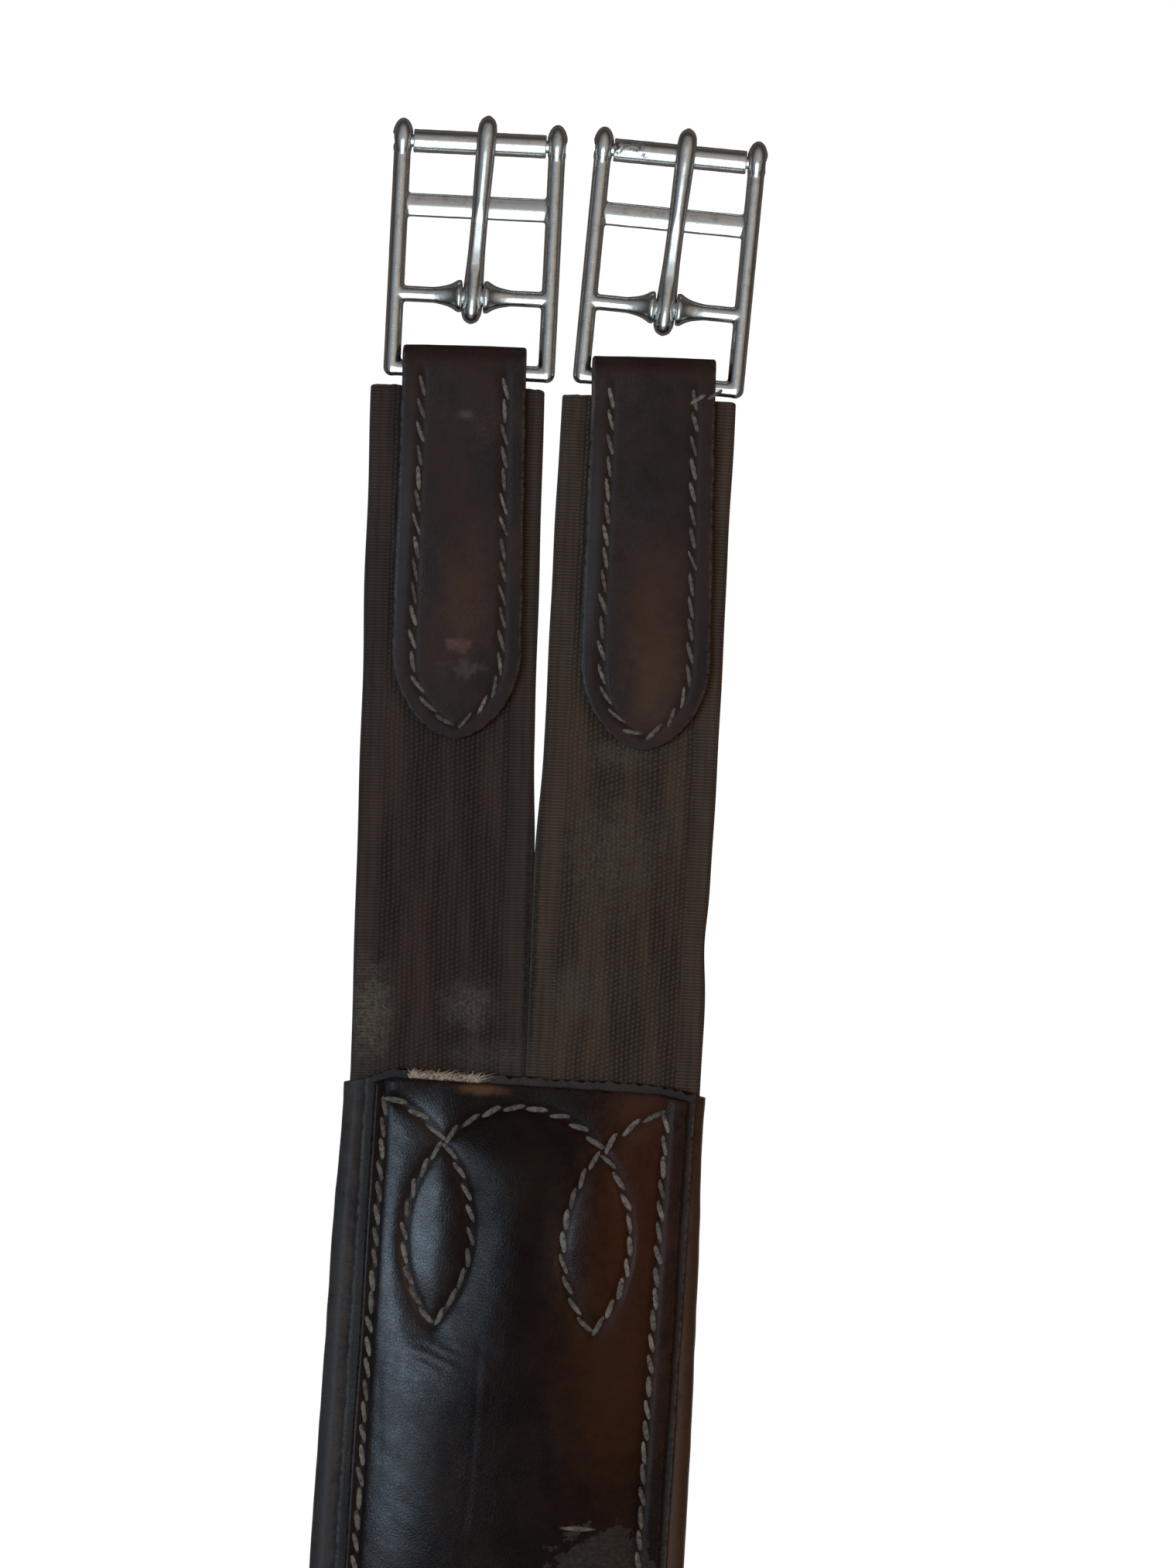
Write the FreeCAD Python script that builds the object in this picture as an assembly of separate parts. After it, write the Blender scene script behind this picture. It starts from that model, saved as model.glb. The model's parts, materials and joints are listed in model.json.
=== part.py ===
import FreeCAD, Part
import math
import os

# A padded leather saddle girth lying flat, front face up, in millimetres.
# X runs across the girth, Y along it and Z up from the surface it lies on.
# The near end points along +Y. The off end is the same end turned round, along -Y.

# overall sizes
girth_length = 1016.0  # a 40 inch girth, from the buckle tops at one end to those at the other

# leather body, layer by layer from the back
lining_leather = 1.2
edge_radius = 2.5  # outside of the turned edge
flange_width = 11.0  # the lining's turned-over edge, on the front
foam_thin = 0.8  # under the elastics
layer_play = 0.1  # between an elastic and the leather or foam next to it
web_side_gap = 1.5  # between the webbing and the turned-over edge
web_thickness = 1.2
backing_leather = 1.2
backing_margin_left = 4.5  # the two front layers sit slightly off centre, towards +X
backing_margin_right = 2.1
panel_leather = 2.0
panel_margin_left = 6.5
panel_margin_right = 3.6
panel_set_back = 1.2  # the front panel's end stands this far inside the mouth
panel_edge_round = 0.8
web_set_back = 8.0
foam_set_back = 2.0

# elastics
elastic_thickness = 3.2
elastic_past_buckle = 0.3  # at each side, wider than the buckle
elastic_edge_round = 1.2
elastic_pair_gap = 0.4
elastic_reach = 138.0  # from the mouth to the cut end
elastic_inside = 45.0  # held between the layers of the body

# chape: the leather tab that folds round the buckle's bottom bar
chape_leather = 2.0
chape_fold_width = 24.9
chape_tab_width = 26.0
chape_tab_length = 74.0  # from the bar's centre to the tip
chape_arch_length = 19.5
chape_tip_round = 5.0
chape_fold_slack = 1.3  # how much further out than the bar the fold is centred
bar_to_elastic = 3.3  # from the bar's centre to the elastic's cut end

# roller buckle, from the bottom bar's centre outwards
bottom_bar_clearance = 0.15  # all round, inside the chape's fold
side_bar_radius = 1.65
side_bar_clearance = 1.45  # at each side of the chape's fold
hinge_bar_radius = 1.55
hinge_bar_place = 15.0
middle_bar_place = 33.0
middle_bar_height = 4.6
middle_bar_thickness = 1.8
middle_bar_drop = 0.3
roller_place = 45.9
eye_half_width = 2.1
eye_half_length = 4.1
eye_half_height = 2.5
eye_past_roller = 0.4
collar_radius = 3.2
collar_gap = 4.4  # between the two collars, where the tongue sits
collar_rim = 0.3
collar_neck_radius = 2.1
collar_flare = 1.6
pin_radius = 1.3
roller_radius = 2.35
roller_end_gap = 0.4
running_clearance = 0.08
tongue_clearance = 0.3  # above the roller
tongue_eye_radius = 3.1
tongue_heel_radius = 2.4
tongue_heel_reach = 3.2
tongue_eye_play = 0.25  # at each side of the eye, to the collars
tongue_root_radius = 2.05
tongue_tip_radius = 1.85
tongue_past_roller = 2.8

# stitching
stitch_width = 1.2
stitch_height = 0.4
panel_seam_inset_left = 2.2
panel_seam_inset_right = 4.3
panel_seam_end = 4.8  # how far inside the mouth the side seams turn in
chape_seam_inset = 4.1
chape_seam_start = 1.0  # inside the bar's centre
chape_seam_tip = 2.4  # short of the tab's tip
chape_seam_arch = 14.0
scroll_cross_inset = 12.3  # side seam to the crossing point
scroll_cross_depth = 13.4
scroll_arch_depth = 5.6
leaf_length = 36.6
leaf_half_width = 6.7
leaf_belly = 17.6  # from the crossing point to the leaf's widest place
tack_row_depths = (16.0, 34.0)
tack_row_inset = 4.0

# worked out from the sizes above
buckle_inside_width = chape_fold_width + 2 * side_bar_clearance
elastic_width = buckle_inside_width + 4 * side_bar_radius + 2 * elastic_past_buckle
body_width = 2 * elastic_width + elastic_pair_gap + 2 * (layer_play + lining_leather)
web_width = body_width - 2 * flange_width - 2 * web_side_gap
backing_left = -body_width / 2 + backing_margin_left
backing_right = body_width / 2 - backing_margin_right
panel_left = -body_width / 2 + panel_margin_left
panel_right = body_width / 2 - panel_margin_right
elastic_gap = elastic_thickness + 2 * layer_play
bar_height = chape_leather + elastic_gap / 2
elastic_bottom = chape_leather + layer_play
chape_height = 2 * chape_leather + elastic_gap
fold_outer_radius = chape_height / 2
fold_inner_radius = elastic_gap / 2
bottom_bar_radius = fold_inner_radius - bottom_bar_clearance
flange_bottom = elastic_bottom + elastic_thickness + layer_play
backing_bottom = flange_bottom + web_thickness
panel_bottom = backing_bottom + backing_leather
panel_top = panel_bottom + panel_leather
side_bar_place = buckle_inside_width / 2 + side_bar_radius
eye_place = roller_place + eye_past_roller
buckle_top = eye_place + eye_half_length
bar_reach = elastic_reach + bar_to_elastic
mouth = girth_length / 2 - bar_reach - buckle_top
elastic_centre = (elastic_width + elastic_pair_gap) / 2
buckle_tilt = math.degrees(math.asin((bar_height - eye_half_height) / eye_place))
left_seam = panel_left + panel_seam_inset_left
right_seam = panel_right - panel_seam_inset_right

# How each strap lies: leans are in degrees towards the strap's own right, seen from the front
# with the buckle pointing away, and shifts are in millimetres the same way.
straps = {
    "near_left": {
        "end": 1, "side": -1, "elastic_lean": -1.95, "tab_lean": -2.1, "tab_shift": 1.25,
        "buckle_lean": -0.9, "buckle_shift": 0.9, "tongue_lean": 2.5,
    },
    "near_right": {
        "end": 1, "side": 1, "elastic_lean": -0.67, "tab_lean": -1.9, "tab_shift": 0.8,
        "buckle_lean": 1.9, "buckle_shift": 0.9, "tongue_lean": 2.0,
    },
    "off_left": {
        "end": -1, "side": -1, "elastic_lean": -1.95, "tab_lean": -2.6, "tab_shift": 1.0,
        "buckle_lean": -0.7, "buckle_shift": 0.6, "tongue_lean": -1.2,
    },
    "off_right": {
        "end": -1, "side": 1, "elastic_lean": 0.3, "tab_lean": 1.1, "tab_shift": -0.5,
        "buckle_lean": 1.6, "buckle_shift": 0.6, "tongue_lean": -2.2,
    },
}
z_axis = FreeCAD.Vector(0, 0, 1)


def vector(x, y, z=0.0):
    return FreeCAD.Vector(x, y, z)


def box(x0, x1, y0, y1, z0, z1):
    return Part.makeBox(x1 - x0, y1 - y0, z1 - z0, vector(x0, y0, z0))


def rod(start, end, radius):
    return Part.makeCylinder(radius, (end - start).Length, start, end - start)


def plate(edges, bottom, top):
    """A flat piece with this outline, drawn at any height."""
    face = Part.Face(Part.Wire(edges))
    face.translate(vector(0, 0, bottom))
    return face.extrude(vector(0, 0, top - bottom))


def moved(shape, placement):
    made = shape.copy()
    made.Placement = placement.multiply(made.Placement)
    return made


# places


def end_frame(end):
    """The middle of one end's mouth, with Y pointing out of the body."""
    turn = 0 if end > 0 else 180
    return FreeCAD.Placement(vector(0, end * mouth), FreeCAD.Rotation(z_axis, turn))


def elastic_frame(strap):
    """Where a strap leaves the mouth, with Y along the strap."""
    place = FreeCAD.Placement(
        vector(strap["side"] * elastic_centre, 0), FreeCAD.Rotation(z_axis, -strap["elastic_lean"])
    )
    return end_frame(strap["end"]).multiply(place)


def chape_frame(strap):
    """The centre of the chape's fold axis, with Y pointing out along the tab."""
    lean = math.radians(strap["elastic_lean"])
    centre = vector(
        strap["side"] * elastic_centre + bar_reach * math.sin(lean) + strap["tab_shift"],
        bar_reach * math.cos(lean),
        bar_height,
    )
    place = FreeCAD.Placement(centre, FreeCAD.Rotation(z_axis, -strap["tab_lean"]))
    return end_frame(strap["end"]).multiply(place)


def buckle_frame(strap):
    """The middle of the bottom bar, X along the bar and Y up the frame, tilted to lie on the table."""
    slide_and_turn = FreeCAD.Placement(
        vector(strap["buckle_shift"], 0),
        FreeCAD.Rotation(z_axis, strap["tab_lean"] - strap["buckle_lean"]),
    )
    tilt = FreeCAD.Placement(vector(0, 0), FreeCAD.Rotation(vector(1, 0), -buckle_tilt))
    return chape_frame(strap).multiply(slide_and_turn).multiply(tilt)


# leather body


def rounded_section(half_width, bottom, top, radius, y):
    """A rectangle across the girth with four round corners, as a face at y."""
    corners = [(half_width, bottom), (half_width, top), (-half_width, top), (-half_width, bottom)]
    edges = []
    for number, (x, z) in enumerate(corners):
        before = corners[number - 1]
        after = corners[(number + 1) % 4]
        from_before = vector(before[0] - x, 0, before[1] - z).normalize()
        to_after = vector(after[0] - x, 0, after[1] - z).normalize()
        corner = vector(x, y, z)
        start = corner + from_before * radius
        end = corner + to_after * radius
        centre = corner + (from_before + to_after) * radius
        middle = centre + (corner - centre).normalize() * radius
        edges.append(Part.Arc(start, middle, end).toShape())
        next_start = vector(after[0], y, after[1]) - to_after * radius
        edges.append(Part.makeLine(end, next_start))
    return Part.Face(Part.Wire(edges))


def make_lining(grooves):
    """Back leather, with both edges turned round the padding and over the front."""
    along = vector(0, 2 * mouth, 0)
    inner_radius = edge_radius - lining_leather
    outer = rounded_section(body_width / 2, 0, backing_bottom, edge_radius, -mouth).extrude(along)
    inner = rounded_section(
        body_width / 2 - lining_leather, lining_leather, flange_bottom, inner_radius, -mouth
    ).extrude(along)
    opening = body_width / 2 - flange_width
    slot = box(-opening, opening, -mouth, mouth, flange_bottom - lining_leather, backing_bottom)
    return outer.cut(inner).cut(slot).cut(grooves)


def make_foam():
    """Foam pad: full thickness between the elastics, thin under them."""
    half_width = body_width / 2 - edge_radius
    thin_top = lining_leather + foam_thin
    whole = mouth - foam_set_back
    thick = mouth - elastic_inside - layer_play
    thin_pad = box(-half_width, half_width, -whole, whole, lining_leather, thin_top)
    thick_pad = box(-half_width, half_width, -thick, thick, thin_top, flange_bottom - layer_play)
    return thin_pad.fuse(thick_pad).removeSplitter()


def make_webbing(grooves):
    reach = mouth - web_set_back
    web = box(-web_width / 2, web_width / 2, -reach, reach, flange_bottom, backing_bottom)
    return web.cut(grooves)


def make_backing():
    return box(backing_left, backing_right, -mouth, mouth, backing_bottom, panel_bottom)


def make_panel():
    reach = mouth - panel_set_back
    panel = box(panel_left, panel_right, -reach, reach, panel_bottom, panel_top)
    rim = [e for e in panel.Edges if e.BoundBox.ZMin > panel_top - layer_play]
    return panel.makeFillet(panel_edge_round, rim)


# stitching


def straight_band(start, end, bottom, top):
    """A seam along a straight line, with round ends."""
    run = end - start
    side = vector(-run.y, run.x).normalize() * (stitch_width / 2)
    along = vector(run.x, run.y).normalize() * (stitch_width / 2)
    edges = [
        Part.makeLine(start + side, end + side),
        Part.Arc(end + side, end + along, end - side).toShape(),
        Part.makeLine(end - side, start - side),
        Part.Arc(start - side, start - along, start + side).toShape(),
    ]
    return plate(edges, bottom, top)


def curved_band(start, middle, end, bottom, top):
    """A seam along an arc through three points, with round ends."""
    circle = Part.Arc(start, middle, end).toShape().Curve
    centre, half = circle.Center, stitch_width / 2

    def moved_out(point, distance):
        return point + (point - centre).normalize() * distance

    def cap(point, towards):
        radial = (point - centre).normalize()
        tangent = vector(-radial.y, radial.x)
        sign = 1 if tangent.dot(towards) > 0 else -1
        return point + tangent * (sign * half)

    outer = [moved_out(point, half) for point in (start, middle, end)]
    inner = [moved_out(point, -half) for point in (start, middle, end)]
    edges = [
        Part.Arc(*outer).toShape(),
        Part.Arc(outer[2], cap(end, end - middle), inner[2]).toShape(),
        Part.Arc(inner[2], inner[1], inner[0]).toShape(),
        Part.Arc(inner[0], cap(start, start - middle), outer[0]).toShape(),
    ]
    return plate(edges, bottom, top)


def bulged(start, end, bulge):
    """The middle point of a seam that bows to its own left by this much."""
    run = end - start
    left = vector(-run.y, run.x).normalize()
    return start + run * 0.5 + left * bulge


def scroll_bands(end, bottom, top):
    """The pattern at one mouth: two scallops, an arch between them, and a leaf below each crossing."""
    left, right = sorted((end * left_seam, end * right_seam))
    crossings = [
        vector(left + scroll_cross_inset, -scroll_cross_depth),
        vector(right - scroll_cross_inset, -scroll_cross_depth),
    ]
    corners = [vector(left, -panel_seam_end), vector(right, -panel_seam_end)]
    arch_top = vector((crossings[0].x + crossings[1].x) / 2, -scroll_arch_depth)
    scallop_bulge = 1.2
    runs = [
        (corners[0], bulged(corners[0], crossings[0], scallop_bulge), crossings[0]),
        (corners[1], bulged(corners[1], crossings[1], -scallop_bulge), crossings[1]),
        (crossings[0], arch_top, crossings[1]),
    ]
    for cross in crossings:
        tip = cross - vector(0, leaf_length)
        for side in (-1, 1):
            runs.append((cross, cross + vector(side * leaf_half_width, -leaf_belly), tip))
    bands = [curved_band(*run, bottom, top) for run in runs]
    return moved(bands[0].fuse(bands[1:]).removeSplitter(), end_frame(end))


def side_seams(bottom, top):
    reach = mouth - panel_seam_end - 2 * stitch_width
    seams = [
        straight_band(vector(x, -reach), vector(x, reach), bottom, top)
        for x in (left_seam, right_seam)
    ]
    return Part.makeCompound(seams)


def tack_rows():
    """Rows across each elastic, inside the body, that sew it to the webbing."""
    rows = []
    for side in (-1, 1):
        inner = side * tack_row_inset
        outer = side * (web_width / 2 - tack_row_inset)
        for depth in tack_row_depths:
            start, end = vector(inner, -depth), vector(outer, -depth)
            rows.append(straight_band(start, end, backing_bottom - stitch_height, backing_bottom))
    return Part.makeCompound(rows)


# straps


def make_elastic(strap):
    """One woven elastic: straight inside the body, then leaning as it leaves the mouth."""
    section = rounded_section(
        elastic_width / 2, elastic_bottom, elastic_bottom + elastic_thickness, elastic_edge_round, 0
    )
    section.translate(vector(strap["side"] * elastic_centre, 0))
    lean = math.radians(strap["elastic_lean"])
    inside = section.extrude(vector(0, -elastic_inside))
    outside = section.extrude(vector(math.sin(lean), math.cos(lean)) * elastic_reach)
    return moved(inside.fuse(outside).removeSplitter(), end_frame(strap["end"]))


def chape_outline():
    """The tab seen from the front: straight at the fold, widening, then a pointed arch."""
    fold_end = chape_fold_slack + fold_outer_radius
    fold_half, tab_half = chape_fold_width / 2, chape_tab_width / 2
    shoulder = -chape_tab_length + chape_arch_length
    radius = (tab_half**2 + chape_arch_length**2) / (2 * tab_half)
    half_angle = math.asin(chape_arch_length / radius) / 2
    side_x = tab_half - radius + radius * math.cos(half_angle)
    side_y = shoulder - radius * math.sin(half_angle)
    tip = vector(0, -chape_tab_length)
    return [
        Part.makeLine(vector(-fold_half, fold_end), vector(fold_half, fold_end)),
        Part.makeLine(vector(fold_half, fold_end), vector(tab_half, shoulder)),
        Part.Arc(vector(tab_half, shoulder), vector(side_x, side_y), tip).toShape(),
        Part.Arc(tip, vector(-side_x, side_y), vector(-tab_half, shoulder)).toShape(),
        Part.makeLine(vector(-tab_half, shoulder), vector(-fold_half, fold_end)),
    ]


def folded_strip():
    """The chape's leather seen edge on: back tab, fold and front tab, as one long U."""
    far, turn = -chape_tab_length, chape_fold_slack
    outer, inner = fold_outer_radius, fold_inner_radius
    edges = [
        Part.makeLine(vector(0, far, -outer), vector(0, turn, -outer)),
        Part.Arc(vector(0, turn, -outer), vector(0, turn + outer, 0), vector(0, turn, outer)).toShape(),
        Part.makeLine(vector(0, turn, outer), vector(0, far, outer)),
        Part.makeLine(vector(0, far, outer), vector(0, far, inner)),
        Part.makeLine(vector(0, far, inner), vector(0, turn, inner)),
        Part.Arc(vector(0, turn, inner), vector(0, turn + inner, 0), vector(0, turn, -inner)).toShape(),
        Part.makeLine(vector(0, turn, -inner), vector(0, far, -inner)),
        Part.makeLine(vector(0, far, -inner), vector(0, far, -outer)),
    ]
    face = Part.Face(Part.Wire(edges))
    face.translate(vector(-chape_tab_width, 0))
    return face.extrude(vector(2 * chape_tab_width, 0))


def chape_seams(bottom, top):
    """Two seams down the tab that meet in a point above its tip."""
    seam_half = chape_tab_width / 2 - chape_seam_inset
    tip_y = -chape_tab_length + chape_seam_tip + chape_tip_round / 4
    shoulder = tip_y + chape_seam_arch
    radius = (seam_half**2 + chape_seam_arch**2) / (2 * seam_half)
    half_angle = math.asin(chape_seam_arch / radius) / 2
    middle_x = seam_half - radius + radius * math.cos(half_angle)
    middle_y = shoulder - radius * math.sin(half_angle)
    bands = []
    for side in (-1, 1):
        top_end = vector(side * seam_half, -chape_seam_start)
        low_end = vector(side * seam_half, shoulder)
        bands.append(straight_band(top_end, low_end, bottom, top))
        middle = vector(side * middle_x, middle_y)
        bands.append(curved_band(low_end, middle, vector(0, tip_y), bottom, top))
    return bands[0].fuse(bands[1:]).removeSplitter()


def make_chape(strap, back_seams):
    tab = plate(chape_outline(), -fold_outer_radius, fold_outer_radius)
    tip = [e for e in tab.Edges if e.BoundBox.YMax < -chape_tab_length + layer_play]
    leather = tab.makeFillet(chape_tip_round, tip).common(folded_strip())
    return moved(leather.cut(back_seams), chape_frame(strap))


# buckle, in its own frame


def make_frame_casting():
    """Side bars, bottom bar, flat middle bar, hinge bar with its two collars, and the roller's eyes."""
    across = vector(side_bar_place, 0)
    shapes = [rod(-across, across, bottom_bar_radius)]
    hinge = vector(0, hinge_bar_place)
    shapes.append(rod(hinge - across, hinge + across, hinge_bar_radius))
    for side in (-1, 1):
        foot = across * side
        shapes.append(rod(foot, foot + vector(0, roller_place), side_bar_radius))
        corner = Part.makeSphere(side_bar_radius)
        corner.rotate(vector(0, 0), z_axis, 90 - 90 * side)  # its seam line faces outwards
        corner.translate(foot)
        shapes.append(corner)
        shapes.append(make_eye(foot + vector(0, eye_place)))
        shapes.append(make_collar(side))
    low, high = middle_bar_place - middle_bar_height / 2, middle_bar_place + middle_bar_height / 2
    bottom = -middle_bar_drop - middle_bar_thickness / 2
    strip = box(-across.x, across.x, low, high, bottom, bottom + middle_bar_thickness)
    long_edges = [e for e in strip.Edges if e.Length > side_bar_place]
    shapes.append(strip.makeFillet(middle_bar_thickness / 3, long_edges))
    pin_axis = vector(0, roller_place)
    pin_hole = rod(pin_axis - across * 2, pin_axis + across * 2, pin_radius)
    return shapes[0].fuse(shapes[1:]).removeSplitter().cut(pin_hole)


def make_eye(centre):
    """An egg-shaped boss at a side bar's end."""
    ball = Part.makeSphere(1.0)
    stretch = FreeCAD.Matrix()
    stretch.scale(eye_half_width, eye_half_length, eye_half_height)
    egg = ball.transformGeometry(stretch)
    egg.translate(centre)
    return egg


def make_collar(side):
    """A flared stop beside the tongue: a thin rim, then two cones down to the bar."""
    out = vector(side, 0)
    start = vector(side * collar_gap / 2, hinge_bar_place)
    rim = Part.makeCylinder(collar_radius, collar_rim, start, out)
    first = Part.makeCone(
        collar_radius, collar_neck_radius, collar_flare, start + out * collar_rim, out
    )
    second = Part.makeCone(
        collar_neck_radius,
        hinge_bar_radius,
        collar_flare,
        start + out * (collar_rim + collar_flare),
        out,
    )
    return rim.fuse([first, second])


def make_pin():
    centre = vector(0, roller_place)
    half = vector(side_bar_place + eye_half_width - roller_end_gap, 0)
    return rod(centre - half, centre + half, pin_radius)


def make_roller():
    half_length = side_bar_place - eye_half_width - roller_end_gap
    centre, half = vector(0, roller_place), vector(half_length, 0)
    tube = rod(centre - half, centre + half, roller_radius)
    return tube.cut(rod(centre - half * 2, centre + half * 2, pin_radius + running_clearance))


def make_tongue(lean):
    """An eye round the hinge bar, a heel behind it, and a tapering shank that lies over the roller."""
    half = vector(collar_gap / 2 - tongue_eye_play, 0)
    hinge = vector(0, hinge_bar_place)
    heel = hinge - vector(0, tongue_heel_reach)
    eye = rod(hinge - half, hinge + half, tongue_eye_radius)
    eye = eye.fuse(rod(heel - half, heel + half, tongue_heel_radius))
    over_roller = roller_radius + tongue_clearance + tongue_tip_radius
    stations = [
        (1.0, 1.0, tongue_root_radius - tongue_eye_play),
        (5.5, 3.1, tongue_root_radius),
        (roller_place - hinge_bar_place, over_roller, tongue_tip_radius),
        (roller_place - hinge_bar_place + tongue_past_roller, over_roller - 0.4, tongue_tip_radius),
    ]
    slope = math.tan(math.radians(lean))
    points = [hinge + vector(along * slope, along, up) for along, up, _ in stations]
    radii = [radius for _, _, radius in stations]
    shapes = [Part.makeSphere(radius, point) for point, radius in zip(points, radii)]
    for number in range(len(points) - 1):
        shapes.append(tapered_rod(points[number], points[number + 1], radii[number], radii[number + 1]))
    bore = rod(hinge - half * 2, hinge + half * 2, hinge_bar_radius + running_clearance)
    return eye.fuse(shapes).removeSplitter().cut(bore)


def tapered_rod(start, end, start_radius, end_radius):
    if abs(start_radius - end_radius) < 1e-6:
        return rod(start, end, start_radius)
    return Part.makeCone(start_radius, end_radius, (end - start).Length, start, end - start)


def make_strap(name, strap):
    chape_place, buckle_place = chape_frame(strap), buckle_frame(strap)
    front_seams = chape_seams(fold_outer_radius, fold_outer_radius + stitch_height)
    back_seams = chape_seams(-fold_outer_radius, -fold_outer_radius + stitch_height)
    return {
        f"{name}_elastic": make_elastic(strap),
        f"{name}_chape": make_chape(strap, back_seams),
        f"{name}_chape_stitching": moved(
            Part.makeCompound([front_seams, back_seams]), chape_place
        ),
        f"{name}_buckle_frame": moved(make_frame_casting(), buckle_place),
        f"{name}_roller_pin": moved(make_pin(), buckle_place),
        f"{name}_roller": moved(make_roller(), buckle_place),
        f"{name}_tongue": moved(make_tongue(strap["tongue_lean"]), buckle_place),
    }


def make_body():
    """The padded body. Its seams lie on the front panel and are let into the lining at the back."""
    ends = {"near": 1, "off": -1}
    stitch_top = panel_top + stitch_height
    back_sides = side_seams(0, stitch_height)
    back_scrolls = {name: scroll_bands(end, 0, stitch_height) for name, end in ends.items()}
    tacks = {name: moved(tack_rows(), end_frame(end)) for name, end in ends.items()}
    pieces = {
        "lining_leather": make_lining([back_sides, *back_scrolls.values()]),
        "foam_pad": make_foam(),
        "core_webbing": make_webbing(list(tacks.values())),
        "backing_leather": make_backing(),
        "front_panel": make_panel(),
        "side_seam_stitching": Part.makeCompound([side_seams(panel_top, stitch_top), back_sides]),
    }
    for name, end in ends.items():
        front_scroll = scroll_bands(end, panel_top, stitch_top)
        pieces[f"{name}_scroll_stitching"] = Part.makeCompound([front_scroll, back_scrolls[name]])
        pieces[f"{name}_tack_stitching"] = tacks[name]
    return pieces


def main():
    os.makedirs("parts", exist_ok=True)
    pieces = make_body()
    for name, strap in straps.items():
        pieces.update(make_strap(name, strap))
    for node, shape in pieces.items():
        shape.exportStep(f"parts/{node}.step")
    print(f"{len(pieces)} pieces, girth {girth_length} mm, body {2 * mouth:.1f} mm")
    return pieces


main()
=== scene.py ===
import bmesh, bpy, json, math
import numpy as np
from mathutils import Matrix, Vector


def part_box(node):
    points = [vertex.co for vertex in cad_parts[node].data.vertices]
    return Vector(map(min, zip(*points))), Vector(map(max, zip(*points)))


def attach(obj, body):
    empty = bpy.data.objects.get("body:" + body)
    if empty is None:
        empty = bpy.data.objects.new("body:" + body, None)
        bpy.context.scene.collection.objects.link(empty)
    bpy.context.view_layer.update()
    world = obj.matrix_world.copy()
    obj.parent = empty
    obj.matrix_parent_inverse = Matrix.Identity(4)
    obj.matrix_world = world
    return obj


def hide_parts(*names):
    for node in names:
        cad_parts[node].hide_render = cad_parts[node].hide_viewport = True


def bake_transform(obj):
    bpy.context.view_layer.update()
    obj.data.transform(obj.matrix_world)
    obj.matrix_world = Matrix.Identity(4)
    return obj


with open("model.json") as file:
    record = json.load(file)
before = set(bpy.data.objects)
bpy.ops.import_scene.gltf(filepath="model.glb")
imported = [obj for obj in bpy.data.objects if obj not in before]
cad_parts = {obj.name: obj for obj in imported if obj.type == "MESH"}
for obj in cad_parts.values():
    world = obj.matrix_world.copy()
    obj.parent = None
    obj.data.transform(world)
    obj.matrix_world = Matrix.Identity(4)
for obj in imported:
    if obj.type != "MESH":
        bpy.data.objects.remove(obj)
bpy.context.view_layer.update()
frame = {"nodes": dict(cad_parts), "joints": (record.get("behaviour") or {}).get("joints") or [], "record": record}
scene = bpy.context.scene
nodes = frame["nodes"]
joints = {joint["name"]: joint for joint in frame["joints"]}
mounts = {mount["name"]: mount for mount in frame["record"]["mounts"]}
strapNames = ("near_left", "near_right", "off_left", "off_right")
mm = 0.001  # every shape below is worked out in millimetres


def boxOf(node):
    return [np.array(corner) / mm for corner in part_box(node)]


bodyHigh = boxOf("lining_leather")[1]
panelLow, panelHigh = boxOf("front_panel")
backingLow, backingHigh = boxOf("backing_leather")
elasticLow, elasticHigh = boxOf("near_left_elastic")
mouth = bodyHigh[1]
halfBody = bodyHigh[0]
print("frame loaded, mouth at", round(mouth, 2))


# shared shape tools

def smooth(low, high, value):
    # 0 below low, 1 above high, and an S curve between
    part = np.clip((value - low) / (high - low), 0, 1)
    return part * part * (3 - 2 * part)


def wander(x, y, seed, wavelength):
    # six sine waves in seeded directions added up, about -1 to 1
    draw = np.random.default_rng(seed)
    total = 0.0
    for _ in range(6):
        angle, turns, phase = draw.uniform(0, 2 * np.pi, 3)
        across = (0.5 + turns / 5) * 2 * np.pi / wavelength
        total = total + np.sin(across * (x * np.cos(angle) + y * np.sin(angle)) + phase)
    return total / 4


def readOut(items, key, width=3, kind=np.float32):
    # one measure of every point, corner or face, as a flat array
    values = np.empty(len(items) * width, kind)
    items.foreach_get(key, values)
    return values


def addObject(name, mesh):
    thing = bpy.data.objects.new(name, mesh)
    scene.collection.objects.link(thing)
    return thing


def faceOutwards(mesh, merge=0.0):
    # turns every face outwards, after joining points no further apart than merge
    work = bmesh.new()
    work.from_mesh(mesh)
    if merge:
        bmesh.ops.remove_doubles(work, verts=work.verts, dist=merge)
    bmesh.ops.recalc_face_normals(work, faces=work.faces)
    work.to_mesh(mesh)
    work.free()


def makePiece(name, points, quads, caps, place=None, marks=None, sharp=40):
    # a mesh from points and faces, with its UV map in metres and its marks as attributes
    mesh = bpy.data.meshes.new(name)
    mesh.from_pydata((points * mm).tolist(), [], quads.tolist() + caps)
    if place is not None:
        corners = readOut(mesh.loops, "vertex_index", 1, int)
        layer = mesh.uv_layers.new(name="place")
        layer.data.foreach_set("uv", (place.reshape(-1, 2)[corners] * mm).astype(np.float32).ravel())
    for mark, values in (marks or {}).items():
        attribute = mesh.attributes.new(mark, "FLOAT", "POINT")
        attribute.data.foreach_set("value", values.ravel().astype(np.float32))
    faceOutwards(mesh)
    mesh.polygons.foreach_set("use_smooth", [True] * len(mesh.polygons))
    mesh.set_sharp_from_angle(angle=math.radians(sharp))
    return addObject(name, mesh)


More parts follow.
